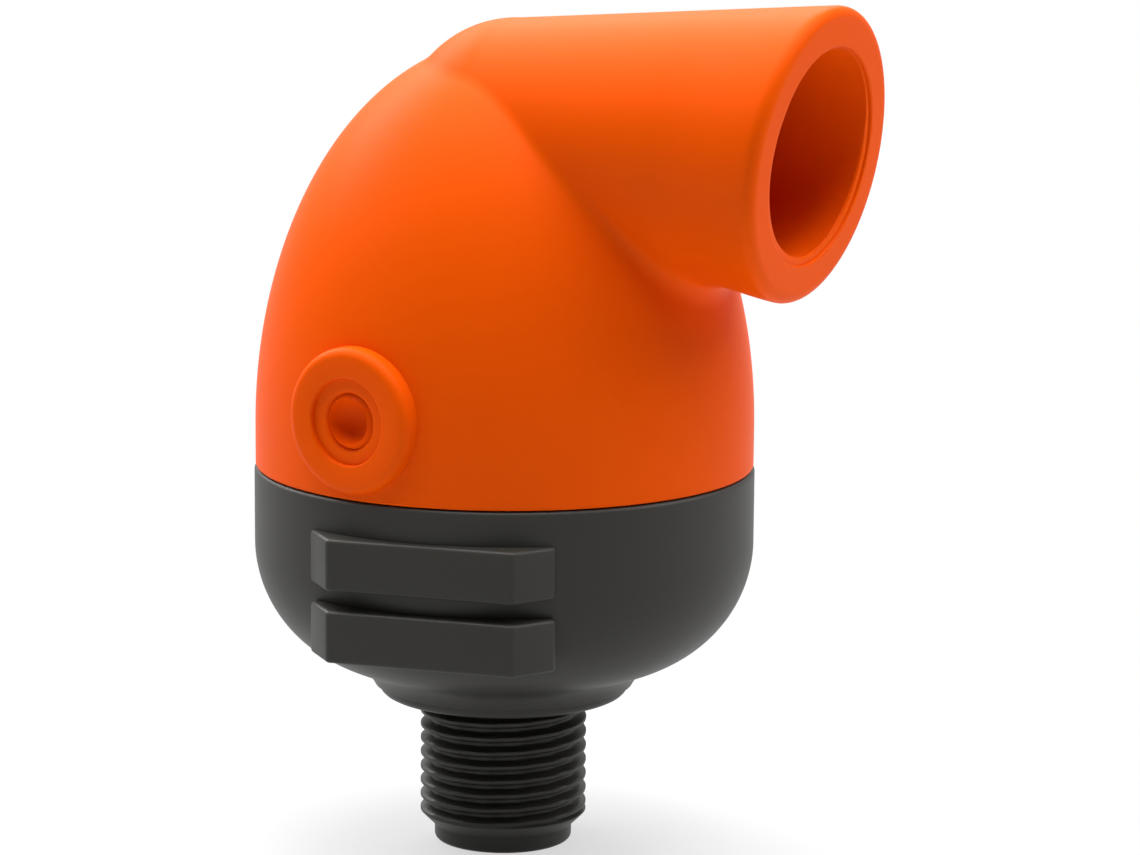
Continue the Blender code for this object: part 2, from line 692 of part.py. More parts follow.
def add_seals(rubber, cap_pivot):
    middle = SPIGOT_RADIUS + O_RING_SQUEEZE_ROOM + O_RING_SECTION / 2.0
    height = BASE_HEIGHT - O_RING_POCKET_DEPTH / 2.0
    seal = turned("cap_o_ring", ring_section(middle, height, O_RING_SECTION), ROUND)
    add_object("cap_o_ring", seal, rubber, cap_pivot)
    middle = SEAT_GROOVE_RADIUS + PIN_GAP + SEAT_RING_SECTION / 2.0
    ring = turned("seat_o_ring", ring_section(middle, MECHANISM_Z + SEAT_RING_UP, SEAT_RING_SECTION))
    add_object("seat_o_ring", moved(ring, SEAT_X), rubber, cap_pivot)


def add_seat(brass, cap_pivot):
    """The vent seat: a screwed-in brass nozzle with a hexagon, a sealed shank and a raised sealing tip."""
    flange_top = MECHANISM_Z - SEAT_GAP
    flange_low = flange_top - SEAT_FLANGE
    shank_top = MECHANISM_Z + SEAT_SHANK_LENGTH - SEAT_GAP
    groove = SEAT_GROOVE_RADIUS
    ring_z = MECHANISM_Z + SEAT_RING_UP
    half = SEAT_RING_GROOVE / 2.0
    points = [(VENT_RADIUS, NOZZLE_TIP_Z), (NOZZLE_RADIUS, NOZZLE_TIP_Z), (SEAT_SHANK_RADIUS, flange_low)]
    points += [(SEAT_SHANK_RADIUS, ring_z - half), (groove, ring_z - half)]
    points += [(groove, ring_z + half), (SEAT_SHANK_RADIUS, ring_z + half)]
    points += [(SEAT_SHANK_RADIUS, shank_top), (VENT_RADIUS, shank_top)]
    seat = add_object("vent_seat", moved(turned("vent_seat", points), SEAT_X), brass, cap_pivot)
    head = prism("seat_hexagon", hexagon(SEAT_HEX), flange_low, flange_top, SEAT_FLANGE / 8.0)
    head.transform(Matrix.Rotation(math.radians(30.0), 4, "Z"))
    join(seat, moved(head, SEAT_X))
    hole = turned("seat_hole", rod(VENT_RADIUS, NOZZLE_TIP_Z - SEAT_FLANGE, shank_top + SEAT_FLANGE))
    cut(seat, moved(hole, SEAT_X))


def ear(name, x, root_z, end_radius, pin_z, y_from, y_to):
    """One sheet ear in the XZ plane, from its root at the plate to a round end about the pin."""
    way = 1.0 if root_z > pin_z else -1.0
    outline = [(x + way * EAR_HALF_WIDTH, root_z), (x - way * EAR_HALF_WIDTH, root_z)]
    outline += arc(x, pin_z, end_radius, 90.0 + 90.0 * way, 270.0 + 90.0 * way, 8)
    return across(name, outline, y_from, y_to)


def pin_hole(name, radius, x, z, half_length):
    return moved(turned(name, rod(radius, -half_length, half_length), PIN_ROUND), x, 0.0, z, "Y")


def add_bracket(steel, cap_pivot):
    """A folded sheet bracket: a plate across the two posts and two ears down to the lever's pin."""
    plate_top = MECHANISM_Z - SEAT_GAP
    plate_low = plate_top - SHEET
    reach = SCREW_SPREAD + SCREW_HEAD_RADIUS
    outline = [(-BRACKET_HALF_WIDTH, -reach), (BRACKET_HALF_WIDTH, -reach)]
    outline += [(BRACKET_HALF_WIDTH, reach), (-BRACKET_HALF_WIDTH, reach)]
    plate = moved(prism("lever_bracket", outline, plate_low, plate_top, SHEET / 5.0), PIVOT_X)
    bracket = add_object("lever_bracket", plate, steel, cap_pivot)
    middle = plate_low + SHEET / 2.0
    for side, low in (("front", -EAR_INSIDE - SHEET), ("back", EAR_INSIDE)):
        high = low + SHEET
        join(bracket, ear(f"bracket_ear_{side}", PIVOT_X, middle, EAR_HALF_WIDTH, PIVOT_Z, low, high))
    hole = SCREW_RADIUS + SEAT_GAP
    for side, y in (("front", -SCREW_SPREAD), ("back", SCREW_SPREAD)):
        drill = turned(f"bracket_hole_{side}", rod(hole, plate_low - SHEET, plate_top + SHEET), PIN_ROUND)
        cut(bracket, moved(drill, PIVOT_X, y))
    past = EAR_INSIDE + 2.0 * SHEET
    cut(bracket, pin_hole("bracket_pin_hole", PIN_RADIUS + PIN_GAP, PIVOT_X, PIVOT_Z, past))


def add_screws(steel, cap_pivot):
    """Two slotted pan-head screws with washers, up through the bracket into the posts."""
    washer_top = MECHANISM_Z - 2.0 * SEAT_GAP - SHEET
    washer_low = washer_top - WASHER_THICKNESS
    head_top = washer_low - SEAT_GAP
    head_low = head_top - SCREW_HEAD_HEIGHT
    tip = MECHANISM_Z + SCREW_LENGTH - SEAT_GAP
    washer = [(SCREW_RADIUS + PIN_GAP, washer_low), (SCREW_HEAD_RADIUS + WASHER_OVERHANG, washer_low)]
    washer += [(SCREW_HEAD_RADIUS + WASHER_OVERHANG, washer_top), (SCREW_RADIUS + PIN_GAP, washer_top)]
    edge = SCREW_HEAD_HEIGHT / 3.0
    screw = [(0.0, head_low), (SCREW_HEAD_RADIUS - edge, head_low), (SCREW_HEAD_RADIUS, head_low + edge)]
    screw += [(SCREW_HEAD_RADIUS, head_top), (SCREW_RADIUS, head_top)]
    screw += [(SCREW_RADIUS, tip - SCREW_RADIUS / 2.0), (SCREW_RADIUS / 2.0, tip), (0.0, tip)]
    for side, y in (("front", -SCREW_SPREAD), ("back", SCREW_SPREAD)):
        ring = turned(f"bracket_washer_{side}", washer, PIN_ROUND)
        add_object(f"bracket_washer_{side}", moved(ring, PIVOT_X, y), steel, cap_pivot)
        body = moved(turned(f"bracket_screw_{side}", screw, PIN_ROUND), PIVOT_X, y)
        slot_low = (PIVOT_X - SCREW_HEAD_RADIUS * 2.0, y - SCREW_SLOT / 2.0, head_low - SCREW_SLOT)
        slot_high = (PIVOT_X + SCREW_HEAD_RADIUS * 2.0, y + SCREW_SLOT / 2.0, head_low + SCREW_SLOT)
        placed = add_object(f"bracket_screw_{side}", body, steel, cap_pivot)
        cut(placed, box(f"screw_slot_{side}", slot_low, slot_high))


def pin_profile(half_length):
    """A grooved pin about its middle: each end has a groove for a clip."""
    groove_in = half_length - PIN_TAIL
    groove_out = groove_in - CLIP_THICKNESS - 2.0 * PIN_GAP
    neck = PIN_RADIUS - PIN_GROOVE_DEPTH
    upper = [(PIN_RADIUS, groove_out), (neck, groove_out), (neck, groove_in), (PIN_RADIUS, groove_in)]
    upper += [(PIN_RADIUS, half_length - PIN_GAP), (PIN_RADIUS - PIN_GAP, half_length)]
    lower = [(radius, -height) for radius, height in reversed(upper)]
    return [(0.0, -half_length)] + lower + upper + [(0.0, half_length)]


def clip_outline():
    """A spring clip: most of a ring, open at one side so that it pushes on across the pin."""
    inner = PIN_RADIUS - PIN_GROOVE_DEPTH + PIN_GAP
    start = math.degrees(CLIP_MOUTH) / 2.0
    outer_side = arc(0.0, 0.0, CLIP_RADIUS, start, 360.0 - start, 14)
    return outer_side + arc(0.0, 0.0, inner, 360.0 - start, start, 14)


def add_pin(name, x, z, ear_outside, steel, parent):
    """A pin along Y through two ears, with a clip at each end."""
    clip_in = ear_outside + SEAT_GAP
    half_length = clip_in + CLIP_THICKNESS + PIN_GAP + PIN_TAIL
    add_object(name, moved(turned(name, pin_profile(half_length), PIN_ROUND), x, 0.0, z, "Y"), steel, parent)
    spans = (("front", -clip_in - CLIP_THICKNESS), ("back", clip_in))
    for side, low in spans:
        outline = [(x + px, z + pz) for px, pz in clip_outline()]
        clip = across(f"{name}_clip_{side}", outline, low, low + CLIP_THICKNESS)
        add_object(f"{name}_clip_{side}", clip, steel, parent)


def add_lever(plastic, rubber, lever_pivot):
    """The lever, drawn level about its own pivot: boss, arm, pad cup and slotted link eye."""
    half = LEVER_THICKNESS / 2.0
    reach = math.hypot(PIVOT_X, FLOAT_TRAVEL)
    slot_in = PIVOT_X - SLOT_GAP
    slot_out = reach + SLOT_GAP
    cup_radius = PAD_RADIUS + SEAT_GAP + PAD_RIM
    pad_x = SEAT_X - PIVOT_X
    arm = box("lever_arm", (-slot_in, -LEVER_WIDTH / 2.0, -half), (0.0, LEVER_WIDTH / 2.0, half))
    lever = add_object("lever_arm", arm, plastic, lever_pivot)
    boss = pin_hole("pivot_boss", PIVOT_BOSS_RADIUS, 0.0, 0.0, PIVOT_BOSS_LENGTH / 2.0)
    cup = moved(turned("pad_cup", rod(cup_radius, -half, half + PAD_PROUD / 2.0)), pad_x)
    eye_outline = stadium(-slot_out, -slot_in, LINK_EYE_RADIUS)
    eye = across("link_eye", eye_outline, -LEVER_WIDTH / 2.0, LEVER_WIDTH / 2.0)
    join(lever, boss, cup, eye)
    pocket_low = half + PAD_PROUD - PAD_THICKNESS - SEAT_GAP
    pocket = rod(PAD_RADIUS + SEAT_GAP, pocket_low, half + 2.0 * PAD_THICKNESS)
    slot = stadium(-slot_out, -slot_in, PIN_RADIUS + SLOT_GAP)
    cut(lever, moved(turned("pad_pocket", pocket), pad_x))
    cut(lever, across("link_slot", slot, -LEVER_WIDTH, LEVER_WIDTH))
    cut(lever, pin_hole("pivot_hole", PIN_RADIUS + PIN_GAP, 0.0, 0.0, PIVOT_BOSS_LENGTH))
    top = half + PAD_PROUD
    edge = PAD_THICKNESS / 6.0
    pad = [(0.0, top - PAD_THICKNESS), (PAD_RADIUS, top - PAD_THICKNESS), (PAD_RADIUS, top - edge)]
    pad += [(PAD_RADIUS - edge, top), (0.0, top)]
    add_object("seal_pad", moved(turned("seal_pad", pad), pad_x), rubber, lever_pivot)


def float_shell_profile(lip):
    """Half of the hollow float about its seam at height 0, cup down: outer wall, round corner, floor, sleeve.
    The lower half has a lip that stands inside the upper one.
    """
    depth = FLOAT_HEIGHT / 2.0
    sleeve = STEM_RADIUS + SEAT_GAP
    edge = -SEAT_GAP / 2.0
    inner = FLOAT_RADIUS - FLOAT_WALL
    corner_r = FLOAT_RADIUS - FLOAT_CORNER
    points = [(sleeve, edge), (sleeve, -depth)]
    points += arc(corner_r, FLOAT_CORNER - depth, FLOAT_CORNER, -90.0, 0.0, 4)
    points += [(FLOAT_RADIUS, edge)]
    if lip:
        lip_r = inner - SEAT_GAP
        points += [(lip_r, edge), (lip_r, FLOAT_LIP), (lip_r - FLOAT_WALL, FLOAT_LIP)]
        points += [(lip_r - FLOAT_WALL, -FLOAT_LIP)]
    points += [(inner, edge if not lip else -2.0 * FLOAT_LIP)]
    points += arc(corner_r, FLOAT_CORNER - depth, FLOAT_CORNER - FLOAT_WALL, 0.0, -90.0, 3)
    return points + [(sleeve + SLEEVE_WALL, FLOAT_WALL - depth), (sleeve + SLEEVE_WALL, edge)]


def add_float(plastic, brass, steel, float_pivot):
    """The float, its stem with a collar under it, and the yoke that the nut clamps on top. The group's pivot
    is on the link pin's axis, so heights here are counted from that pin.
    """
    seam = (FLOAT_TOP_Z + FLOAT_BOTTOM_Z) / 2.0 - LINK_Z
    lower = moved(turned("float_shell_lower", float_shell_profile(True), PLAIN_ROUND), z=seam)
    add_object("float_shell_lower", lower, plastic, float_pivot)
    flipped = [(radius, -height) for radius, height in float_shell_profile(False)]
    upper = moved(turned("float_shell_upper", flipped, PLAIN_ROUND), z=seam)
    add_object("float_shell_upper", upper, plastic, float_pivot)
    plate_top = -YOKE_DEPTH
    washer_low = plate_top + SEAT_GAP
    nut_low = washer_low + WASHER_THICKNESS + SEAT_GAP
    nut_top = nut_low + NUT_HEIGHT
    tip = nut_top + STEM_TIP
    collar_top = STEM_COLLAR_TOP_Z - LINK_Z
    collar_low = collar_top - STEM_COLLAR
    tail = collar_low - STEM_TAIL
    stem = [(0.0, tail), (STEM_RADIUS / 2.0, tail), (STEM_RADIUS, tail + STEM_RADIUS / 2.0)]
    stem += [(STEM_RADIUS, collar_low), (STEM_COLLAR_RADIUS, collar_low), (STEM_COLLAR_RADIUS, collar_top)]
    stem += [(STEM_RADIUS, collar_top), (STEM_RADIUS, tip - STEM_TIP)]
    stem += [(STEM_RADIUS - STEM_TIP, tip), (0.0, tip)]
    add_object("float_stem", turned("float_stem", stem), brass, float_pivot)
    hole = STEM_RADIUS + PIN_GAP
    washer = [(hole, washer_low), (STEM_WASHER_RADIUS, washer_low)]
    washer += [(STEM_WASHER_RADIUS, washer_low + WASHER_THICKNESS), (hole, washer_low + WASHER_THICKNESS)]
    add_object("float_washer", turned("float_washer", washer), steel, float_pivot)
    nut = prism("float_nut", hexagon(NUT_HEX), nut_low, nut_top, NUT_HEIGHT / 10.0)
    placed = add_object("float_nut", nut, brass, float_pivot)
    cut(placed, turned("nut_hole", rod(hole, nut_low - NUT_HEIGHT, nut_top + NUT_HEIGHT)))
    add_yoke(steel, float_pivot, hole)


def add_yoke(steel, float_pivot, hole):
    """A folded sheet yoke: a plate under the nut and two ears up to the link pin."""
    inside = LEVER_WIDTH / 2.0 + SIDE_GAP
    low = -YOKE_DEPTH - SHEET
    half = EAR_HALF_WIDTH
    width = inside + SHEET
    outline = [(-half, -width), (half, -width), (half, width), (-half, width)]
    yoke = add_object("float_yoke", prism("float_yoke", outline, low, -YOKE_DEPTH), steel, float_pivot)
    middle = low + SHEET / 2.0
    for side, y_from, y_to in (("front", -width, -inside), ("back", inside, width)):
        join(yoke, ear(f"yoke_ear_{side}", 0.0, middle, YOKE_EAR_ABOVE, 0.0, y_from, y_to))
    cut(yoke, turned("yoke_stem_hole", rod(hole, low - SHEET, SHEET - YOKE_DEPTH)))
    cut(yoke, pin_hole("yoke_pin_hole", PIN_RADIUS + PIN_GAP, 0.0, 0.0, width + SHEET))


def add_guide(plastic):
    """A three-armed guide on its ledge in the base: its bush steers the float's stem and stops the float."""
    hole = STEM_RADIUS + SEAT_GAP
    bush = hole + GUIDE_BUSH_WALL
    rim_top = GUIDE_Z + GUIDE_HEIGHT
    inner = GUIDE_RADIUS - GUIDE_RIM_WIDTH
    rim = [(inner, GUIDE_Z), (GUIDE_RADIUS, GUIDE_Z), (GUIDE_RADIUS, rim_top), (inner, rim_top)]
    guide = add_object("float_guide", turned("float_guide", rim, PLAIN_ROUND), plastic)
    centre = [(hole, GUIDE_Z), (bush, GUIDE_Z), (bush, GUIDE_TOP_Z), (hole, GUIDE_TOP_Z)]
    join(guide, turned("guide_bush", centre))
    for i in range(GUIDE_ARMS):
        low = (bush - GUIDE_BUSH_WALL / 2.0, -GUIDE_ARM_WIDTH / 2.0, GUIDE_Z + SEAT_GAP)
        high = (inner + GUIDE_RIM_WIDTH / 2.0, GUIDE_ARM_WIDTH / 2.0, rim_top - SEAT_GAP)
        arm = box(f"guide_arm_{i + 1}", low, high)
        arm.transform(Matrix.Rotation(2.0 * math.pi * i / GUIDE_ARMS, 4, "Z"))
        join(guide, arm)


def main():
    clear_scene()
    orange = material("orange_polypropylene", (0.69, 0.12, 0.004), 0.42)
    grey = material("grey_glass_filled_nylon", (0.045, 0.044, 0.041), 0.5)
    rubber = material("black_rubber", (0.012, 0.012, 0.012), 0.75)
    brass = material("brass", (0.62, 0.42, 0.16), 0.28, 1.0)
    steel = material("stainless_steel", (0.58, 0.58, 0.57), 0.3, 1.0)
    white = material("natural_acetal", (0.72, 0.71, 0.66), 0.45)
    cap_pivot = add_pivot("cap_axis", (0.0, 0.0, 0.0))
    lever_pivot = add_pivot("lever_axis", (PIVOT_X, 0.0, PIVOT_Z), -LEVER_SWING)
    float_pivot = add_pivot("float_axis", (0.0, 0.0, LINK_Z))
    add_base(grey)
    add_cap(orange, cap_pivot)
    add_seals(rubber, cap_pivot)
    add_seat(brass, cap_pivot)
    add_bracket(steel, cap_pivot)
    add_screws(steel, cap_pivot)
    add_pin("lever_pin", PIVOT_X, PIVOT_Z, EAR_INSIDE + SHEET, steel, cap_pivot)
    add_lever(white, rubber, lever_pivot)
    add_float(white, brass, steel, float_pivot)
    add_pin("link_pin", 0.0, 0.0, LEVER_WIDTH / 2.0 + SIDE_GAP + SHEET, steel, float_pivot)
    add_guide(white)


main()
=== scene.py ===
"""Looks of the automatic air vent valve: fine moulded shells, threads and materials, light and camera.

Metres, +Z up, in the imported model's frame. Each piece stands where its solid is and rides on its body.
"""

import json
import math

import bmesh
import bpy
import numpy as np
from mathutils import Matrix, Vector


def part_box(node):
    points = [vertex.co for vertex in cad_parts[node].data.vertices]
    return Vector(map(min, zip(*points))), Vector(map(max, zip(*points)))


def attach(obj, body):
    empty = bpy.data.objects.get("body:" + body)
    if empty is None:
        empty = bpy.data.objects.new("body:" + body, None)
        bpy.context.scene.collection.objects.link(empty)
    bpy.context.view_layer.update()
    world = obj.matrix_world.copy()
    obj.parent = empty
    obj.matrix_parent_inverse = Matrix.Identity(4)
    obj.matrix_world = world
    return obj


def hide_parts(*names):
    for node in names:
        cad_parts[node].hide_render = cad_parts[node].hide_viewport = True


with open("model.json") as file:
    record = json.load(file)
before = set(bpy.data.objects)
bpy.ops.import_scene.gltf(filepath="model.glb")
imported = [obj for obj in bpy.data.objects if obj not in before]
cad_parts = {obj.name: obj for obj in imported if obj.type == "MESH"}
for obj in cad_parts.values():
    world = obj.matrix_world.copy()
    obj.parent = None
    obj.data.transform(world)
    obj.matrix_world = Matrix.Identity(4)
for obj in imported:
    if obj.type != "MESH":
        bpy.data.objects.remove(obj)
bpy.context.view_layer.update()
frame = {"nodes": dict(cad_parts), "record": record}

# Inlet thread and nose
THREAD_CREST = 0.0104
THREAD_DEPTH = 0.00116
THREAD_PITCH = 0.001814
THREAD_LOW = 0.0037
THREAD_HIGH = 0.0187
THREAD_FADE = 0.0003
THREAD_START_STEP = 0.0001
NOSE_RADIUS = 0.0086
NOSE_HEIGHT = 0.0020
NOSE_EDGE = 0.0006
INLET_BORE_RADIUS = 0.0065
INLET_BORE_EDGE = 0.0003

# Base bowl
BODY_RADIUS = 0.0310
BASE_HEIGHT = 0.0479
COLLAR_Z = 0.0189
COLLAR_RADIUS = 0.0156
COLLAR_THICKNESS = 0.0014
COLLAR_EDGE = 0.0012
COLLAR_FILLET = 0.0055
BOWL_CORNER = 0.0162
BOWL_RISE = 0.0035
BOWL_WALL = 0.0031
RIM_EDGE = 0.0006
SUMP_RADIUS = 0.0110
SUMP_FLOOR = 0.0033
STRAIGHT_MARGIN = 0.0010
GUIDE_LEDGE_RADIUS = 0.0144
GUIDE_LEDGE_DEPTH = 0.0006

# Spanner bars: the root is the share of an end's distance from the axis that its side runs in to
FLATS_TURN = math.radians(11.8)
BAR_PROUD = 0.0012
BAR_HALF_WIDTH = 0.01154
BAR_END_TURN = math.radians(51.4)
BAR_END_LENGTH = 0.0062
BAR_HEIGHT = 0.0063
LOWER_BAR_BOTTOM = 0.02874
BAR_GAP = 0.00239
BAR_EDGE = 0.00045
BAR_ROOT = 0.6

# Screw joint between cap and base
SCREW_PITCH = 0.0040
SCREW_DEPTH = 0.0008
SCREW_GAP = 0.0003
SCREW_FADE = 0.0006
SCREW_START_STEP = 0.0004
SPIGOT_RADIUS = 0.0276
SPIGOT_INSIDE = 0.0252
SPIGOT_LENGTH = 0.0120
SPIGOT_CHAMFER = 0.0015
POCKET_DEPTH = 0.0022
POCKET_RADIUS = 0.0294
SEAL_SECTION = 0.0016
SEAL_RADIUS = 0.0285

# Dome cap
SHOULDER_Z = 0.0482
SKIRT_EDGE = 0.0003
LIP_Z = 0.0480
LIP_WIDTH = 0.0010
CAP_RADIUS = 0.03085
DOME_Z = 0.0530
DOME_RISE = 0.0474
DOME_FULLNESS = 2.0
CAP_WALL = 0.0036
CAVITY_TOP = 0.0820

# Outlet elbow
OUTLET_TOP_Z = 0.1030
OUTLET_SLOPE = 0.0785
OUTLET_RADIUS = 0.0163
OUTLET_BACK = 0.0030
MOUTH_RADIUS = 0.0177
MOUTH_REACH = 0.04266
MOUTH_LEAN = math.radians(8.3)
FLARE_LENGTH = 0.0150
MOUTH_EDGE = 0.0015
BACK_TAPER = 0.0020
BACK_END = 0.0015
BLEND_HIGH = 0.0003
BLEND_HIGH_Z = 0.0980
BLEND_LOW = 0.0032
BLEND_LOW_Z = 0.0700
BORE_RADIUS = 0.0122
BORE_MOUTH_RADIUS = 0.0131
BORE_STEP_DEPTH = 0.00035
BORE_EDGE = 0.00025
BORE_BEVEL = 0.3 * BORE_EDGE
STUB_RADIUS = 0.0060
POST_RADIUS = 0.0030
SEAT_POCKET_RADIUS = 0.0036
VENT_RADIUS = 0.00125
PILOT_RADIUS = 0.0013
OUTLET_TOP_WALL = 0.0041

# Blind side port
PORT_TURN = math.radians(-6.1)
PORT_HEIGHT = 0.0575
PORT_RADIUS = 0.0088
PORT_FACE = 0.03185
PORT_EDGE = 0.0012
PORT_RECESS_RADIUS = 0.0052
PORT_RECESS_DEPTH = 0.0007
PORT_RECESS_EDGE = 0.0003
PORT_HOLE_RADIUS = 0.0028
PORT_HOLE_MOUTH = 0.0033
PORT_HOLE_EDGE = 0.0006
PORT_HOLE_DEPTH = 0.0031
PORT_HOLE_CORNER = 0.9 * PORT_HOLE_RADIUS

# Fineness
ROUND = 144
FORM_VOXEL = 0.00038
WELD_DISTANCE = 0.000002
TINY = 1e-9

# The photograph's camera, found from the valve's outline
IMAGE_WIDTH = 1140
FOCAL_PIXELS = 4015.0
SENSOR_WIDTH = 36.0
CAMERA_DISTANCE = 0.48972
CAMERA_HEIGHT = 0.14171
CAMERA_PITCH = math.radians(10.338)
CAMERA_YAW = math.radians(0.942)
CAMERA_ROLL = math.radians(0.471)
CAMERA_AZIMUTH = math.radians(30.0)

# Floor
FLOOR_SIZE = 3.0
SHADOW_FROM = 0.02
SHADOW_TO = 0.09
SHADOW_VEIL = 0.6

# Plastics: light and dark tone, least and most roughness, sheen
ORANGE = ((0.76, 0.082, 0.0006), (0.72, 0.074, 0.0004), 0.38, 0.46, 0.03)
GREY = ((0.0220, 0.0209, 0.0177), (0.0193, 0.0182, 0.0150), 0.42, 0.52, 0.27)
NATURAL = ((0.74, 0.73, 0.68), (0.68, 0.67, 0.62), 0.35, 0.45, 0.50)
CLOUD_SCALE = 60.0
GRAIN_SCALE = 5000.0
GRAIN_HEIGHT = 0.00001

# Metals: light and dark tone, least and most roughness
BRASS = ((0.80, 0.56, 0.24), (0.66, 0.45, 0.18), 0.18, 0.35)
STEEL = ((0.72, 0.72, 0.71), (0.55, 0.55, 0.54), 0.22, 0.38)
MARK_DEPTH = 0.00002

# Directions of the metals' tool marks, as noise scales: across the axis for turned, along X for drawn
TURNED = (200.0, 200.0, 9000.0)
DRAWN = (9000.0, 400.0, 400.0)

# Rubber: its two tones, and the scales of its grain and dust
RUBBER_TONES = ((0.010, 0.010, 0.010), (0.022, 0.022, 0.021))
RUBBER_GRAIN_SCALE = 3000.0
DUST_SCALE = 300.0

# Light: name, place (right of the camera's view, away from the camera, up), size and power in watts
LAMPS = (
    ("top", (0.0, 0.0, 0.85), (0.7, 0.7), 11.8),
    ("top_back", (0.0, 0.6, 0.6), (0.7, 0.5), 4.3),
    ("top_left", (-0.55, 0.0, 0.65), (0.5, 0.6), 2.2),
    ("top_right", (0.55, 0.0, 0.65), (0.5, 0.6), 4.4),
    ("left_high_back", (-0.5, 0.45, 0.6), (0.5, 0.5), 6.0),
    ("right", (0.8, 0.0, 0.2), (0.4, 0.8), 0.6),
)
LAMP_AIM = (0.0, 0.0, 0.055)
WORLD_FILL = 0.02
FLOOR_TONE = 0.55

# Heights that follow from the sizes above
BOWL_CENTRE_RADIUS = BODY_RADIUS - BOWL_CORNER
BOWL_CENTRE_Z = COLLAR_Z + BOWL_RISE + BOWL_CORNER
FLOOR_Z = COLLAR_Z + BOWL_RISE + BOWL_WALL
SPIGOT_END_Z = SHOULDER_Z - SPIGOT_LENGTH


def arc(centre_r, centre_z, radius, start, end, count):
    """Points on a circle from one angle to another, in degrees, both ends included."""
    angles = [math.radians(start + (end - start) * i / count) for i in range(count + 1)]
    return [(centre_r + radius * math.cos(a), centre_z + radius * math.sin(a)) for a in angles]


def line(start, end, count):
    """Points from start to end, both included."""
    return [(start[0] + (end[0] - start[0]) * i / count, start[1] + (end[1] - start[1]) * i / count)
            for i in range(count + 1)]


def smooth_step(x):
    x = min(max(x, 0.0), 1.0)
    return x * x * (3.0 - 2.0 * x)


def thread_form(share, crest=0.16, root=0.16):
    """Height of a thread's rounded profile, 0 at the root to 1 at the crest, over one pitch."""
    from_crest = abs(share - math.floor(share) - 0.5) * 2.0
    flank = (from_crest - crest) / (1.0 - crest - root)
    return 1.0 - smooth_step(flank)


def mesh_of(name, shape):
    bmesh.ops.recalc_face_normals(shape, faces=shape.faces)
    mesh = bpy.data.meshes.new(name)
    shape.to_mesh(mesh)
    shape.free()
    return mesh


def revolved(name, rows, steps=ROUND):
    """A closed profile turned round Z. A row is (radius, height); the radius may be a function of angle."""
    shape = bmesh.new()
    angles = [2.0 * math.pi * i / steps for i in range(steps)]
    rings = []
    for radius, height in rows:
        if not callable(radius) and radius < TINY:
            rings.append([shape.verts.new((0.0, 0.0, height))] * steps)
            continue
        ring = []
        for a in angles:
            r = radius(a) if callable(radius) else radius
            ring.append(shape.verts.new((r * math.cos(a), r * math.sin(a), height)))
        rings.append(ring)
    for ring, following in zip(rings, rings[1:] + rings[:1]):
        for i in range(steps):
            j = (i + 1) % steps
            corners = [ring[i], ring[j], following[j], following[i]]
            corners = [v for k, v in enumerate(corners) if v not in corners[:k]]
            if len(corners) > 2:
                shape.faces.new(corners)
    return mesh_of(name, shape)


def shade(mesh, angle=35.0):
    mesh.shade_smooth()
    mesh.set_sharp_from_angle(angle=math.radians(angle))


def add_object(name, mesh):
    obj = bpy.data.objects.new(name, mesh)
    bpy.context.scene.collection.objects.link(obj)
    return obj


def evaluated(obj):
    """The object's mesh with its modifiers applied, with doubled points merged."""
    graph = bpy.context.evaluated_depsgraph_get()
    mesh = bpy.data.meshes.new_from_object(obj.evaluated_get(graph))
    shape = bmesh.new()
    shape.from_mesh(mesh)
    bmesh.ops.remove_doubles(shape, verts=shape.verts, dist=WELD_DISTANCE)
    bmesh.ops.dissolve_degenerate(shape, edges=shape.edges, dist=WELD_DISTANCE)
    shape.to_mesh(mesh)
    shape.free()
    return mesh


def combine(obj, operation, meshes):
    for mesh in meshes:
        helper = add_object("helper", mesh)
        step = obj.modifiers.new("step", "BOOLEAN")
        step.operation = operation
        step.solver = "EXACT"
        step.object = helper
        obj.data = evaluated(obj)
        obj.modifiers.clear()
        bpy.data.objects.remove(helper)
    return obj


def thread_rows(base_radius, depth, pitch, low, high, fade, rows_per_pitch=14):
    """Rows of a right-hand thread from low to high that fades in and out over a stretch at each end."""
    count = int(round((high - low) / pitch * rows_per_pitch))
    rows = []
    for i in range(count + 1):
        z = low + (high - low) * i / count
        full = smooth_step((z - low) / fade) * smooth_step((high - z) / fade)

        def radius(angle, z=z, full=full):
            ridge = thread_form(z / pitch - angle / (2.0 * math.pi))
            return base_radius + depth * (ridge - 1.0) * full

        rows.append((radius, z))
    return rows


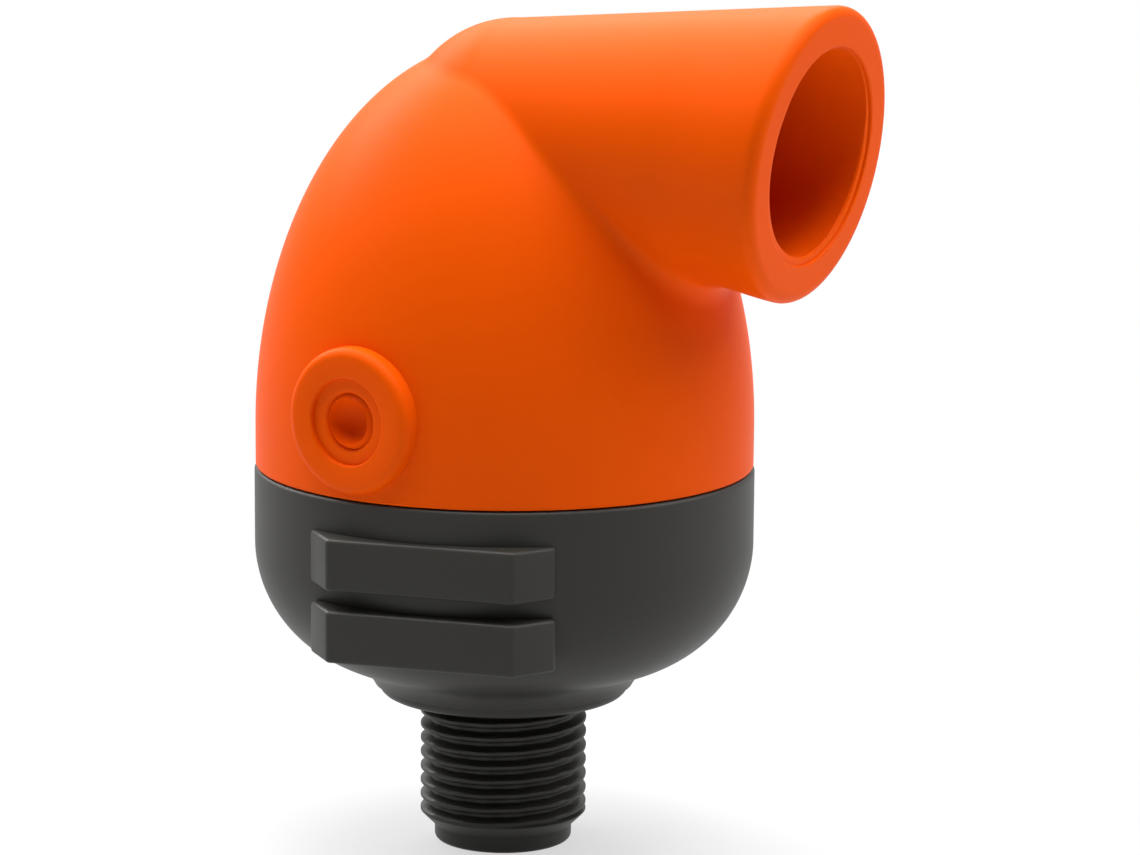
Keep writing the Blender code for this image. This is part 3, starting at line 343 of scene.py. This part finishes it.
def bowl_rows():
    """The base's closed profile: up the outside from the nose to the rim, then down the inside."""
    fillet_r = COLLAR_RADIUS + COLLAR_FILLET
    reach = BOWL_CORNER + COLLAR_FILLET
    fillet_z = BOWL_CENTRE_Z - math.sqrt(reach**2 - (fillet_r - BOWL_CENTRE_RADIUS) ** 2)
    slope = math.degrees(math.atan2(BOWL_CENTRE_Z - fillet_z, BOWL_CENTRE_RADIUS - fillet_r))
    collar_top = max(fillet_z, COLLAR_Z + COLLAR_THICKNESS)
    start = 180.0 - math.degrees(math.asin((collar_top - fillet_z) / COLLAR_FILLET))
    rows = [(INLET_BORE_RADIUS + INLET_BORE_EDGE, 0.0)]
    rows += arc(NOSE_RADIUS - NOSE_EDGE, NOSE_EDGE, NOSE_EDGE, -90.0, 0.0, 5)
    rows += [(NOSE_RADIUS, NOSE_HEIGHT)]
    rows += line((NOSE_RADIUS + THREAD_START_STEP, NOSE_HEIGHT), (THREAD_CREST, THREAD_LOW), 4)
    start_z = THREAD_LOW + THREAD_START_STEP
    rows += thread_rows(THREAD_CREST, THREAD_DEPTH, THREAD_PITCH, start_z, THREAD_HIGH, THREAD_FADE)
    rows += [(THREAD_CREST, COLLAR_Z)]
    rows += arc(COLLAR_RADIUS - COLLAR_EDGE, COLLAR_Z + COLLAR_EDGE, COLLAR_EDGE, -90.0, 0.0, 5)
    rows += arc(fillet_r, fillet_z, COLLAR_FILLET, start, slope, 12)
    rows += arc(BOWL_CENTRE_RADIUS, BOWL_CENTRE_Z, BOWL_CORNER, slope - 180.0, 0.0, 36)[1:]
    low_z = BOWL_CENTRE_Z + STRAIGHT_MARGIN
    high_z = BASE_HEIGHT - RIM_EDGE - STRAIGHT_MARGIN
    rows += line((BODY_RADIUS, low_z), (BODY_RADIUS, high_z), 8)
    rows += arc(BODY_RADIUS - RIM_EDGE, BASE_HEIGHT - RIM_EDGE, RIM_EDGE, 0.0, 90.0, 6)
    pocket_z = BASE_HEIGHT - POCKET_DEPTH
    rows += [(POCKET_RADIUS, BASE_HEIGHT), (POCKET_RADIUS, pocket_z)]
    bore = SPIGOT_RADIUS + SCREW_GAP
    screw_z = BOWL_CENTRE_Z + SCREW_START_STEP
    inside = thread_rows(bore, SCREW_DEPTH, SCREW_PITCH, screw_z, pocket_z, SCREW_FADE)
    rows += inside[::-1]
    rows += arc(BOWL_CENTRE_RADIUS, BOWL_CENTRE_Z, BOWL_CORNER - BOWL_WALL, 0.0, -90.0, 18)
    ledge_z = FLOOR_Z - GUIDE_LEDGE_DEPTH
    rows += [(GUIDE_LEDGE_RADIUS, FLOOR_Z), (GUIDE_LEDGE_RADIUS, ledge_z), (SUMP_RADIUS, ledge_z)]
    sump_z = COLLAR_Z + SUMP_FLOOR
    rows += [(SUMP_RADIUS, sump_z), (INLET_BORE_RADIUS, sump_z), (INLET_BORE_RADIUS, INLET_BORE_EDGE)]
    return rows


def spanner_bar(bottom, turn):
    """One raised bar with a flat middle and turned-back ends, its edges rounded."""
    face = BODY_RADIUS + BAR_PROUD
    end_x = BAR_HALF_WIDTH + BAR_END_LENGTH * math.cos(BAR_END_TURN)
    end_y = face - BAR_END_LENGTH * math.sin(BAR_END_TURN)
    in_x = end_x * BAR_ROOT
    in_y = end_y * BAR_ROOT
    outline = [(-BAR_HALF_WIDTH, -face), (BAR_HALF_WIDTH, -face), (end_x, -end_y)]
    outline += [(in_x, -in_y), (-in_x, -in_y), (-end_x, -end_y)]
    shape = bmesh.new()
    corners = [shape.verts.new((x, y, bottom)) for x, y in outline]
    raised = bmesh.ops.extrude_face_region(shape, geom=[shape.faces.new(corners)])
    top = [v for v in raised["geom"] if isinstance(v, bmesh.types.BMVert)]
    bmesh.ops.translate(shape, verts=top, vec=(0.0, 0.0, BAR_HEIGHT))
    bmesh.ops.bevel(shape, geom=shape.edges[:], offset=BAR_EDGE, segments=3, profile=0.5, affect="EDGES")
    mesh = mesh_of("bar", shape)
    mesh.transform(Matrix.Rotation(turn, 4, "Z"))
    return mesh


def make_base():
    base = add_object("base_shell", revolved("base_shell", bowl_rows()))
    upper = LOWER_BAR_BOTTOM + BAR_HEIGHT + BAR_GAP
    bars = []
    for half in (0.0, math.pi):
        bars.append(spanner_bar(LOWER_BAR_BOTTOM, FLATS_TURN + half))
        bars.append(spanner_bar(upper, FLATS_TURN + half))
    above = BASE_HEIGHT * 2.0
    bore_plug = [(0.0, FLOOR_Z), (SPIGOT_INSIDE, FLOOR_Z), (SPIGOT_INSIDE, above), (0.0, above)]
    bars = [trimmed(bar, revolved("bore_plug", bore_plug, 72)) for bar in bars]
    combine(base, "UNION", bars)
    shade(base.data)
    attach(base, "base")
    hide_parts("base_body")
    return base


def trimmed(mesh, cutter):
    """The mesh with the cutter taken away."""
    helper = add_object("helper_trim", mesh)
    combine(helper, "DIFFERENCE", [cutter])
    made = helper.data
    bpy.data.objects.remove(helper)
    return made


def outlet_top(x):
    return OUTLET_TOP_Z + OUTLET_SLOPE * x


def outlet_radius(x):
    share = np.clip((x - (MOUTH_REACH - FLARE_LENGTH)) / FLARE_LENGTH, 0.0, 1.0)
    return OUTLET_RADIUS + (MOUTH_RADIUS - OUTLET_RADIUS) * share * share * (3.0 - 2.0 * share)


def bore_centre(x):
    return outlet_top(x) - OUTLET_TOP_WALL - BORE_MOUTH_RADIUS


def distance_to_dome(points):
    """First-order distance to the dome: a straight skirt with a half ellipsoid on it at a fullness of 2."""
    p = DOME_FULLNESS
    radius = np.hypot(points[:, 0], points[:, 1]) / CAP_RADIUS
    rise = np.maximum(points[:, 2] - DOME_Z, 0.0) / DOME_RISE
    level = (radius**p + rise**p) ** (1.0 / p) + TINY
    out_slope = (radius / level) ** (p - 1.0) / CAP_RADIUS
    up_slope = (rise / level) ** (p - 1.0) / DOME_RISE
    return (level - 1.0) / (np.hypot(out_slope, up_slope) + TINY)


def distance_to_elbow(points):
    """Distance to the elbow: a tapering tube under a straight back line, with a ball at its inner end."""
    x = np.maximum(points[:, 0], BACK_END)
    taper = np.clip(1.0 - x / (MOUTH_REACH - FLARE_LENGTH), 0.0, 1.0)
    radius = outlet_radius(x) - BACK_TAPER * taper
    drop = points[:, 2] - (outlet_top(x) - radius)
    behind = np.minimum(points[:, 0] - BACK_END, 0.0)
    return np.sqrt(behind**2 + points[:, 1] ** 2 + drop**2) - radius


def distance_past_mouth(points):
    """How far a point lies outside the mouth's leaning plane."""
    middle = outlet_top(MOUTH_REACH) - MOUTH_RADIUS
    along = (points[:, 0] - MOUTH_REACH) * math.cos(MOUTH_LEAN)
    return along - (points[:, 2] - middle) * math.sin(MOUTH_LEAN)


def filleted_union(first, second, radius):
    inside = np.hypot(np.maximum(radius - first, 0.0), np.maximum(radius - second, 0.0))
    return np.maximum(radius, np.minimum(first, second)) - inside


def rounded_overlap(first, second, radius):
    outside = np.hypot(np.maximum(first + radius, 0.0), np.maximum(second + radius, 0.0))
    return np.minimum(-radius, np.maximum(first, second)) + outside


def blend_radius(points):
    """The fillet between dome and elbow, tight on top and wider towards the underside."""
    share = np.clip((BLEND_HIGH_Z - points[:, 2]) / (BLEND_HIGH_Z - BLEND_LOW_Z), 0.0, 1.0)
    return BLEND_HIGH + (BLEND_LOW - BLEND_HIGH) * share**2


def cap_form(points):
    """Distance to the cap's outside: dome and elbow with a fillet between, the mouth's edge rounded."""
    body = filleted_union(distance_to_dome(points), distance_to_elbow(points), blend_radius(points))
    return rounded_overlap(body, distance_past_mouth(points), MOUTH_EDGE)


def drawn_onto_form(points, rounds=5):
    """Moves points along the form's slope until they lie on its surface."""
    probe = 1e-6
    for _ in range(rounds):
        value = cap_form(points)
        slope = np.stack([(cap_form(points + probe * axis) - value) / probe for axis in np.eye(3)], axis=1)
        step = value / np.maximum((slope**2).sum(axis=1), 0.1)
        points = points - slope * step[:, None]
    return points


def snap_to_form(mesh, above):
    points = np.empty(len(mesh.vertices) * 3, np.float32)
    mesh.vertices.foreach_get("co", points)
    points = points.reshape(-1, 3).astype(np.float64)
    free = points[:, 2] > above
    points[free] = drawn_onto_form(points[free])
    mesh.vertices.foreach_set("co", points.astype(np.float32).ravel())
    mesh.update()


def lofted(name, stations, steps=96):
    """A tube through circles across X: each station is (x, centre height, radius, lean)."""
    shape = bmesh.new()
    rings = []
    for x, centre, radius, lean in stations:
        ring = []
        for i in range(steps):
            a = 2.0 * math.pi * i / steps
            rise = radius * math.sin(a)
            ring.append(shape.verts.new((x + rise * math.tan(lean), radius * math.cos(a), centre + rise)))
        rings.append(ring)
    for ring, following in zip(rings, rings[1:]):
        for i in range(steps):
            shape.faces.new([ring[i], ring[(i + 1) % steps], following[(i + 1) % steps], following[i]])
    shape.faces.new(rings[0])
    shape.faces.new(rings[-1])
    return mesh_of(name, shape)


def ball_end(centre_height, radius, count=10):
    """Stations of the round inner end of a tube, from its tip to its full radius."""
    stations = []
    for i in range(1, count):
        a = math.radians(90.0 * i / count)
        stations.append((OUTLET_BACK - radius * math.cos(a), centre_height, radius * math.sin(a), 0.0))
    return stations


def elbow_rough(past):
    stations = ball_end(outlet_top(OUTLET_BACK) - OUTLET_RADIUS, OUTLET_RADIUS)
    count = 16
    for i in range(count + 1):
        x = OUTLET_BACK + (MOUTH_REACH + past - OUTLET_BACK) * i / count
        radius = float(outlet_radius(x))
        stations.append((x, outlet_top(x) - radius, radius, MOUTH_LEAN * i / count))
    return lofted("elbow_rough", stations)


def dome_rows(radius, rise, low_z, count):
    rows = [(0.0, low_z), (radius, low_z)]
    for i in range(count):
        a = math.radians(90.0 * i / count)
        rows.append((radius * math.cos(a), DOME_Z + rise * math.sin(a)))
    return rows + [(0.0, DOME_Z + rise)]


def cap_outside():
    """The cap's outside as an even mesh: dome and elbow fused, drawn onto the form and evened out."""
    rough = bmesh.new()
    for source in (
        revolved("dome", dome_rows(CAP_RADIUS, DOME_RISE, SHOULDER_Z - CAP_WALL, 24), 96),
        elbow_rough(0.0),
    ):
        rough.from_mesh(source)
    helper = add_object("helper_form", mesh_of("form", rough))
    fuse = helper.modifiers.new("fuse", "REMESH")
    fuse.mode = "VOXEL"
    fuse.voxel_size = FORM_VOXEL
    form = evaluated(helper)
    bpy.data.objects.remove(helper)
    floor = SHOULDER_Z - CAP_WALL / 2.0
    for _ in range(3):
        snap_to_form(form, floor)
        shape = bmesh.new()
        shape.from_mesh(form)
        axes = {"use_axis_x": True, "use_axis_y": True, "use_axis_z": True}
        bmesh.ops.smooth_vert(shape, verts=shape.verts, factor=0.5, **axes)
        shape.to_mesh(form)
        shape.free()
    snap_to_form(form, floor)
    return form


def below_skirt():
    """Cuts the cap at its shoulder, leaves a low lip round the outside and rounds the lip's edge."""
    outer = CAP_RADIUS + CAP_WALL
    low = SHOULDER_Z - 2.0 * CAP_WALL
    middle = LIP_Z + SKIRT_EDGE
    inside = CAP_RADIUS - LIP_WIDTH
    rows = [(0.0, low), (outer, low), (outer, middle), (CAP_RADIUS + TINY, middle)]
    rows += arc(CAP_RADIUS - SKIRT_EDGE, middle, SKIRT_EDGE, 0.0, -90.0, 5)[1:]
    rows += [(inside, LIP_Z), (inside, SHOULDER_Z)]
    return revolved("below_skirt", rows + [(0.0, SHOULDER_Z)])


def hollow():
    """The cap's hollow above the spigot, following the dome, with the elbow left solid."""
    inner = CAP_RADIUS - CAP_WALL
    rise = DOME_RISE - CAP_WALL
    last = math.degrees(math.asin((CAVITY_TOP - DOME_Z) / rise))
    first = math.degrees(math.acos(SPIGOT_INSIDE / inner))
    rows = [(0.0, SHOULDER_Z - 2.0 * CAP_WALL), (SPIGOT_INSIDE, SHOULDER_Z - 2.0 * CAP_WALL)]
    for i in range(13):
        a = math.radians(first + (last - first) * i / 12.0)
        rows.append((inner * math.cos(a), DOME_Z + rise * math.sin(a)))
    core = add_object("helper_core", revolved("core", rows + [(0.0, CAVITY_TOP)], 96))
    combine(core, "DIFFERENCE", [elbow_rough(CAP_WALL)] + mechanism_posts())
    made = core.data
    bpy.data.objects.remove(core)
    return made


def mechanism_posts():
    """The stub for the nozzle and the two screw posts, which stand in the hollow under the outlet."""
    posts = []
    low = float(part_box("lever_bracket")[1][2]) + SCREW_GAP
    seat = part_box("vent_seat")
    places = [((seat[0][0] + seat[1][0]) / 2.0, 0.0, STUB_RADIUS)]
    for side in ("front", "back"):
        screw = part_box(f"bracket_screw_{side}")
        x = (screw[0][0] + screw[1][0]) / 2.0
        y = (screw[0][1] + screw[1][1]) / 2.0
        places.append((x, y, POST_RADIUS))
    for x, y, radius in places:
        rows = [(0.0, low), (radius, low), (radius, OUTLET_TOP_Z), (0.0, OUTLET_TOP_Z)]
        post = revolved("post", rows, 48)
        post.transform(Matrix.Translation((x, y, 0.0)))
        posts.append(post)
    return posts


def post_holes():
    """The nozzle's pocket with its vent up into the bore, and the two screws' pilot holes."""
    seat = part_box("vent_seat")
    centre = (seat[0][0] + seat[1][0]) / 2.0
    start = float(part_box("lever_bracket")[1][2])
    top = float(seat[1][2]) + SCREW_GAP
    far = bore_centre(centre)
    rows = [(0.0, start), (SEAT_POCKET_RADIUS, start), (SEAT_POCKET_RADIUS, top), (VENT_RADIUS, top)]
    holes = [(centre, 0.0, rows + [(VENT_RADIUS, far), (0.0, far)])]
    for side in ("front", "back"):
        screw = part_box(f"bracket_screw_{side}")
        x = (screw[0][0] + screw[1][0]) / 2.0
        y = (screw[0][1] + screw[1][1]) / 2.0
        top = float(screw[1][2]) + SCREW_GAP
        rows = [(0.0, start), (PILOT_RADIUS, start), (PILOT_RADIUS, top), (0.0, top)]
        holes.append((x, y, rows))
    cutters = []
    for x, y, rows in holes:
        cutter = revolved("post_hole", rows, 48)
        cutter.transform(Matrix.Translation((x, y, 0.0)))
        cutters.append(cutter)
    return cutters


def outlet_bore():
    stations = ball_end(bore_centre(OUTLET_BACK), BORE_RADIUS)
    far = MOUTH_REACH + MOUTH_RADIUS
    for i in range(13):
        x = OUTLET_BACK + (far - OUTLET_BACK) * i / 12.0
        stations.append((x, bore_centre(x), BORE_RADIUS, 0.0))
    return lofted("outlet_bore", stations)


def bore_mouth():
    """The shallow step round the bore at the mouth, with both its edges rounded."""
    edge = BORE_EDGE
    step = -BORE_STEP_DEPTH
    rows = [(0.0, step - edge), (BORE_RADIUS, step - edge)]
    rows += [(BORE_RADIUS + BORE_BEVEL, step - BORE_BEVEL), (BORE_RADIUS + edge, step)]
    rows += [(BORE_MOUTH_RADIUS, step), (BORE_MOUTH_RADIUS, -edge)]
    rows += arc(BORE_MOUTH_RADIUS + edge, -edge, edge, 180.0, 90.0, 4)[1:]
    rows += [(BORE_MOUTH_RADIUS + edge, MOUTH_RADIUS), (0.0, MOUTH_RADIUS)]
    mesh = revolved("bore_mouth", rows)
    mesh.transform(Matrix.Rotation(math.radians(90.0) + MOUTH_LEAN, 4, "Y"))
    mesh.transform(Matrix.Translation((MOUTH_REACH, 0.0, outlet_top(MOUTH_REACH) - MOUTH_RADIUS)))
    return mesh


def on_port_axis(mesh):
    """Lays a mesh's Z axis along -Y, turns it to the port and lifts it to the port's height."""
    mesh.transform(Matrix.Rotation(math.radians(90.0), 4, "X"))
    mesh.transform(Matrix.Rotation(PORT_TURN, 4, "Z"))
    mesh.transform(Matrix.Translation((0.0, 0.0, PORT_HEIGHT)))
    return mesh


def port_boss():
    rows = [(0.0, CAP_RADIUS - CAP_WALL / 2.0), (PORT_RADIUS, CAP_RADIUS - CAP_WALL / 2.0)]
    rows += arc(PORT_RADIUS - PORT_EDGE, PORT_FACE - PORT_EDGE, PORT_EDGE, 0.0, 90.0, 6)
    return on_port_axis(revolved("port_boss", rows + [(0.0, PORT_FACE)], 96))


def port_hollow():
    """The port's shallow recess and its blind hole with a softly rounded mouth."""
    floor = PORT_FACE - PORT_RECESS_DEPTH
    edge = PORT_RECESS_EDGE
    bottom = PORT_FACE - PORT_HOLE_DEPTH
    corner = PORT_HOLE_CORNER
    rows = [(0.0, bottom)] + arc(PORT_HOLE_RADIUS - corner, bottom + corner, corner, -90.0, 0.0, 6)
    mouth = PORT_HOLE_MOUTH + PORT_HOLE_EDGE
    rows += arc(mouth, floor - PORT_HOLE_EDGE, PORT_HOLE_EDGE, 165.0, 90.0, 6)
    rows += [(PORT_RECESS_RADIUS, floor), (PORT_RECESS_RADIUS, PORT_FACE - edge)]
    rows += arc(PORT_RECESS_RADIUS + edge, PORT_FACE - edge, edge, 180.0, 90.0, 4)[1:]
    rows += [(PORT_RECESS_RADIUS + edge, PORT_FACE + PORT_RADIUS), (0.0, PORT_FACE + PORT_RADIUS)]
    return on_port_axis(revolved("port_hollow", rows, 96))


def spigot():
    """The cap's screwed spigot, with the same thread as the base's bore."""
    rows = [(SPIGOT_INSIDE, SPIGOT_END_Z), (SPIGOT_RADIUS - SPIGOT_CHAMFER, SPIGOT_END_Z)]
    low = SPIGOT_END_Z + SPIGOT_CHAMFER
    high = BASE_HEIGHT - POCKET_DEPTH
    rows += thread_rows(SPIGOT_RADIUS, SCREW_DEPTH, SCREW_PITCH, low, high, SCREW_FADE)
    overlap = SHOULDER_Z + CAP_WALL / 2.0
    rows += [(SPIGOT_RADIUS, SHOULDER_Z), (SPIGOT_RADIUS, overlap), (SPIGOT_INSIDE, overlap)]
    return revolved("spigot", rows)


def make_cap():
    cap = add_object("cap_shell", cap_outside())
    combine(cap, "UNION", [port_boss()])
    combine(cap, "DIFFERENCE", [below_skirt(), hollow(), outlet_bore(), bore_mouth(), port_hollow()])
    combine(cap, "DIFFERENCE", post_holes())
    combine(cap, "UNION", [spigot()])
    shade(cap.data)
    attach(cap, "cap")
    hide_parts("dome_cap")
    return cap


def make_seal():
    low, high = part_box("cap_o_ring")
    middle = (low[2] + high[2]) / 2.0
    rows = arc(SEAL_RADIUS, float(middle), SEAL_SECTION / 2.0, 0.0, 360.0, 20)[:-1]
    seal = add_object("cap_seal", revolved("cap_seal", rows))
    shade(seal.data, 180.0)
    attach(seal, "seal_ring")
    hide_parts("cap_o_ring")
    return seal


def new_material(name):
    made = bpy.data.materials.new(name)
    made.use_nodes = True
    tree = made.node_tree
    return made, tree, tree.nodes["Principled BSDF"]


def noise_node(tree, scale, detail, coordinates=None):
    node = tree.nodes.new("ShaderNodeTexNoise")
    node.inputs["Scale"].default_value = scale
    node.inputs["Detail"].default_value = detail
    if coordinates is None:
        coordinates = tree.nodes.new("ShaderNodeTexCoord")
    tree.links.new(coordinates.outputs["Object"], node.inputs["Vector"])
    return node


def mapped(tree, source, low, high):
    """A 0 to 1 value stretched between two others."""
    node = tree.nodes.new("ShaderNodeMapRange")
    node.inputs["To Min"].default_value = low
    node.inputs["To Max"].default_value = high
    tree.links.new(source, node.inputs["Value"])
    return node.outputs["Result"]


def two_tones(tree, factor, first, second):
    mix = tree.nodes.new("ShaderNodeMix")
    mix.data_type = "RGBA"
    mix.inputs["A"].default_value = (*first, 1.0)
    mix.inputs["B"].default_value = (*second, 1.0)
    tree.links.new(factor, mix.inputs["Factor"])
    return mix.outputs["Result"]


def bump_from(tree, shader, height, distance, strength=1.0):
    node = tree.nodes.new("ShaderNodeBump")
    node.inputs["Distance"].default_value = distance
    node.inputs["Strength"].default_value = strength
    tree.links.new(height, node.inputs["Height"])
    tree.links.new(node.outputs["Normal"], shader.inputs["Normal"])


def moulded_plastic(name, light_tone, dark_tone, rough_low, rough_high, sheen):
    """Satin moulded plastic: a fine spark-eroded grain, with faint cloudy tone and gloss variation."""
    made, tree, shader = new_material(name)
    coordinates = tree.nodes.new("ShaderNodeTexCoord")
    cloud = noise_node(tree, CLOUD_SCALE, 3.0, coordinates)
    fine = noise_node(tree, GRAIN_SCALE, 2.0, coordinates)
    tone = two_tones(tree, cloud.outputs["Fac"], dark_tone, light_tone)
    tree.links.new(tone, shader.inputs["Base Color"])
    tree.links.new(mapped(tree, cloud.outputs["Fac"], rough_low, rough_high), shader.inputs["Roughness"])
    shader.inputs["Specular IOR Level"].default_value = sheen
    bump_from(tree, shader, fine.outputs["Fac"], GRAIN_HEIGHT)
    return made


def rubber(name):
    made, tree, shader = new_material(name)
    fine = noise_node(tree, RUBBER_GRAIN_SCALE, 3.0)
    dust = noise_node(tree, DUST_SCALE, 4.0)
    tone = two_tones(tree, dust.outputs["Fac"], *RUBBER_TONES)
    tree.links.new(tone, shader.inputs["Base Color"])
    tree.links.new(mapped(tree, dust.outputs["Fac"], 0.6, 0.8), shader.inputs["Roughness"])
    bump_from(tree, shader, fine.outputs["Fac"], GRAIN_HEIGHT)
    return made


def turned_metal(name, light_tone, dark_tone, rough_low, rough_high, stretch):
    """Metal with fine tool marks: noise stretched along the marks' direction."""
    made, tree, shader = new_material(name)
    shader.inputs["Metallic"].default_value = 1.0
    coordinates = tree.nodes.new("ShaderNodeTexCoord")
    stretched = tree.nodes.new("ShaderNodeMapping")
    stretched.inputs["Scale"].default_value = stretch
    tree.links.new(coordinates.outputs["Object"], stretched.inputs["Vector"])
    marks = tree.nodes.new("ShaderNodeTexNoise")
    marks.inputs["Scale"].default_value = 1.0
    marks.inputs["Detail"].default_value = 4.0
    tree.links.new(stretched.outputs["Vector"], marks.inputs["Vector"])
    tone = two_tones(tree, marks.outputs["Fac"], dark_tone, light_tone)
    tree.links.new(tone, shader.inputs["Base Color"])
    tree.links.new(mapped(tree, marks.outputs["Fac"], rough_low, rough_high), shader.inputs["Roughness"])
    bump_from(tree, shader, marks.outputs["Fac"], MARK_DEPTH)
    return made


def dress(obj, finish):
    obj.data.materials.clear()
    obj.data.materials.append(finish)


def dress_inner_nodes(finishes):
    """Gives every carried-over solid its own material by its slot."""
    replaced = {"base_body", "dome_cap", "cap_o_ring"}
    slots = {part["node"]: part["material_slot"] for part in frame["record"]["subparts"]}
    for name, node in frame["nodes"].items():
        if name in replaced:
            continue
        finish = finishes[slots[name]]
        for place in node.material_slots:
            place.link = "OBJECT"
            place.material = finish


def white_floor():
    """Matte white that keeps the valve's shadow near its foot and fades to plain white further out."""
    made, tree, shader = new_material("floor_white")
    shader.inputs["Base Color"].default_value = (FLOOR_TONE, FLOOR_TONE, FLOOR_TONE, 1.0)
    shader.inputs["Roughness"].default_value = 0.9
    coordinates = tree.nodes.new("ShaderNodeTexCoord")
    away = tree.nodes.new("ShaderNodeVectorMath")
    away.operation = "LENGTH"
    tree.links.new(coordinates.outputs["Object"], away.inputs[0])
    fade = tree.nodes.new("ShaderNodeMapRange")
    fade.interpolation_type = "SMOOTHSTEP"
    fade.inputs["From Min"].default_value = SHADOW_FROM
    fade.inputs["From Max"].default_value = SHADOW_TO
    fade.inputs["To Min"].default_value = SHADOW_VEIL
    fade.inputs["To Max"].default_value = 1.0
    tree.links.new(away.outputs["Value"], fade.inputs["Value"])
    share = tree.nodes.new("ShaderNodeMath")
    share.operation = "MULTIPLY"
    seen = white_for(tree, "Is Camera Ray", "Is Glossy Ray", "Is Transmission Ray")
    tree.links.new(seen, share.inputs[0])
    tree.links.new(fade.outputs["Result"], share.inputs[1])
    glow = tree.nodes.new("ShaderNodeEmission")
    mix = tree.nodes.new("ShaderNodeMixShader")
    tree.links.new(share.outputs[0], mix.inputs["Fac"])
    tree.links.new(shader.outputs["BSDF"], mix.inputs[1])
    tree.links.new(glow.outputs["Emission"], mix.inputs[2])
    tree.links.new(mix.outputs["Shader"], tree.nodes["Material Output"].inputs["Surface"])
    return made


def make_floor():
    mesh = bpy.data.meshes.new("floor")
    corners = [(-1.0, -1.0), (1.0, -1.0), (1.0, 1.0), (-1.0, 1.0)]
    mesh.from_pydata([(x * FLOOR_SIZE, y * FLOOR_SIZE, 0.0) for x, y in corners], [], [(0, 1, 2, 3)])
    floor = add_object("floor", mesh)
    dress(floor, white_floor())


def white_for(tree, *outputs):
    """A factor of 1 for the kinds of ray that are named, such as the camera's own rays."""
    path = tree.nodes.new("ShaderNodeLightPath")
    factor = path.outputs[outputs[0]]
    for name in outputs[1:]:
        either = tree.nodes.new("ShaderNodeMath")
        either.operation = "MAXIMUM"
        tree.links.new(factor, either.inputs[0])
        tree.links.new(path.outputs[name], either.inputs[1])
        factor = either.outputs[0]
    return factor


def make_world():
    """A dim even fill, which the camera, reflections and clear things see as plain white."""
    world = bpy.data.worlds.new("studio")
    world.use_nodes = True
    tree = world.node_tree
    background = tree.nodes["Background"]
    background.inputs["Color"].default_value = (1.0, 1.0, 1.0, 1.0)
    background.inputs["Strength"].default_value = WORLD_FILL
    white = tree.nodes.new("ShaderNodeBackground")
    white.inputs["Strength"].default_value = 1.0
    mix = tree.nodes.new("ShaderNodeMixShader")
    seen = white_for(tree, "Is Camera Ray", "Is Glossy Ray", "Is Transmission Ray")
    tree.links.new(seen, mix.inputs["Fac"])
    tree.links.new(background.outputs["Background"], mix.inputs[1])
    tree.links.new(white.outputs["Background"], mix.inputs[2])
    tree.links.new(mix.outputs["Shader"], tree.nodes["World Output"].inputs["Surface"])
    bpy.context.scene.world = world


def add_lamp(name, place, target, size, power):
    """A square soft lamp at a place, turned towards a target."""
    data = bpy.data.lights.new(name, "AREA")
    data.shape = "RECTANGLE"
    data.size = size[0]
    data.size_y = size[1]
    data.energy = power
    lamp = bpy.data.objects.new(name, data)
    bpy.context.scene.collection.objects.link(lamp)
    lamp.location = place
    lamp.rotation_euler = (Vector(target) - Vector(place)).to_track_quat("-Z", "Y").to_euler()
    return lamp


def from_camera_side(right, forward, up):
    """A place given as seen from the camera: to the right, away from it, and up, about the valve's axis."""
    c = math.cos(CAMERA_AZIMUTH)
    s = math.sin(CAMERA_AZIMUTH)
    return (right * c - forward * s, right * s + forward * c, up)


def make_lights():
    """Soft lamps round the valve: each has its place as seen from the camera, its size and its power."""
    for name, place, size, power in LAMPS:
        add_lamp(name, from_camera_side(*place), LAMP_AIM, size, power)


def make_camera():
    """The camera looks past the valve by a small yaw and down by its pitch, and leans by its roll."""
    data = bpy.data.cameras.new("camera")
    data.sensor_fit = "HORIZONTAL"
    data.sensor_width = SENSOR_WIDTH
    data.lens = SENSOR_WIDTH * FOCAL_PIXELS / IMAGE_WIDTH
    data.clip_start = 0.01
    camera = bpy.data.objects.new("camera", data)
    bpy.context.scene.collection.objects.link(camera)
    camera.location = from_camera_side(0.0, -CAMERA_DISTANCE, CAMERA_HEIGHT)
    level = math.cos(CAMERA_PITCH)
    across = level * math.sin(CAMERA_YAW)
    ahead = level * math.cos(CAMERA_YAW)
    look = from_camera_side(across, ahead, -math.sin(CAMERA_PITCH))
    level_camera = Vector(look).to_track_quat("-Z", "Y").to_matrix()
    camera.rotation_euler = (level_camera @ Matrix.Rotation(CAMERA_ROLL, 3, "Z")).to_euler()
    bpy.context.scene.camera = camera


def main():
    finishes = {
        "orange_plastic": moulded_plastic("orange_plastic", *ORANGE),
        "grey_plastic": moulded_plastic("grey_plastic", *GREY),
        "natural_plastic": moulded_plastic("natural_plastic", *NATURAL),
        "seal_rubber": rubber("seal_rubber"),
        "brass": turned_metal("brass", *BRASS, TURNED),
        "steel": turned_metal("steel", *STEEL, DRAWN),
    }
    dress(make_base(), finishes["grey_plastic"])
    dress(make_cap(), finishes["orange_plastic"])
    dress(make_seal(), finishes["seal_rubber"])
    dress_inner_nodes(finishes)
    make_floor()
    make_world()
    make_lights()
    make_camera()
    bpy.context.scene.view_settings.view_transform = "Standard"


main()
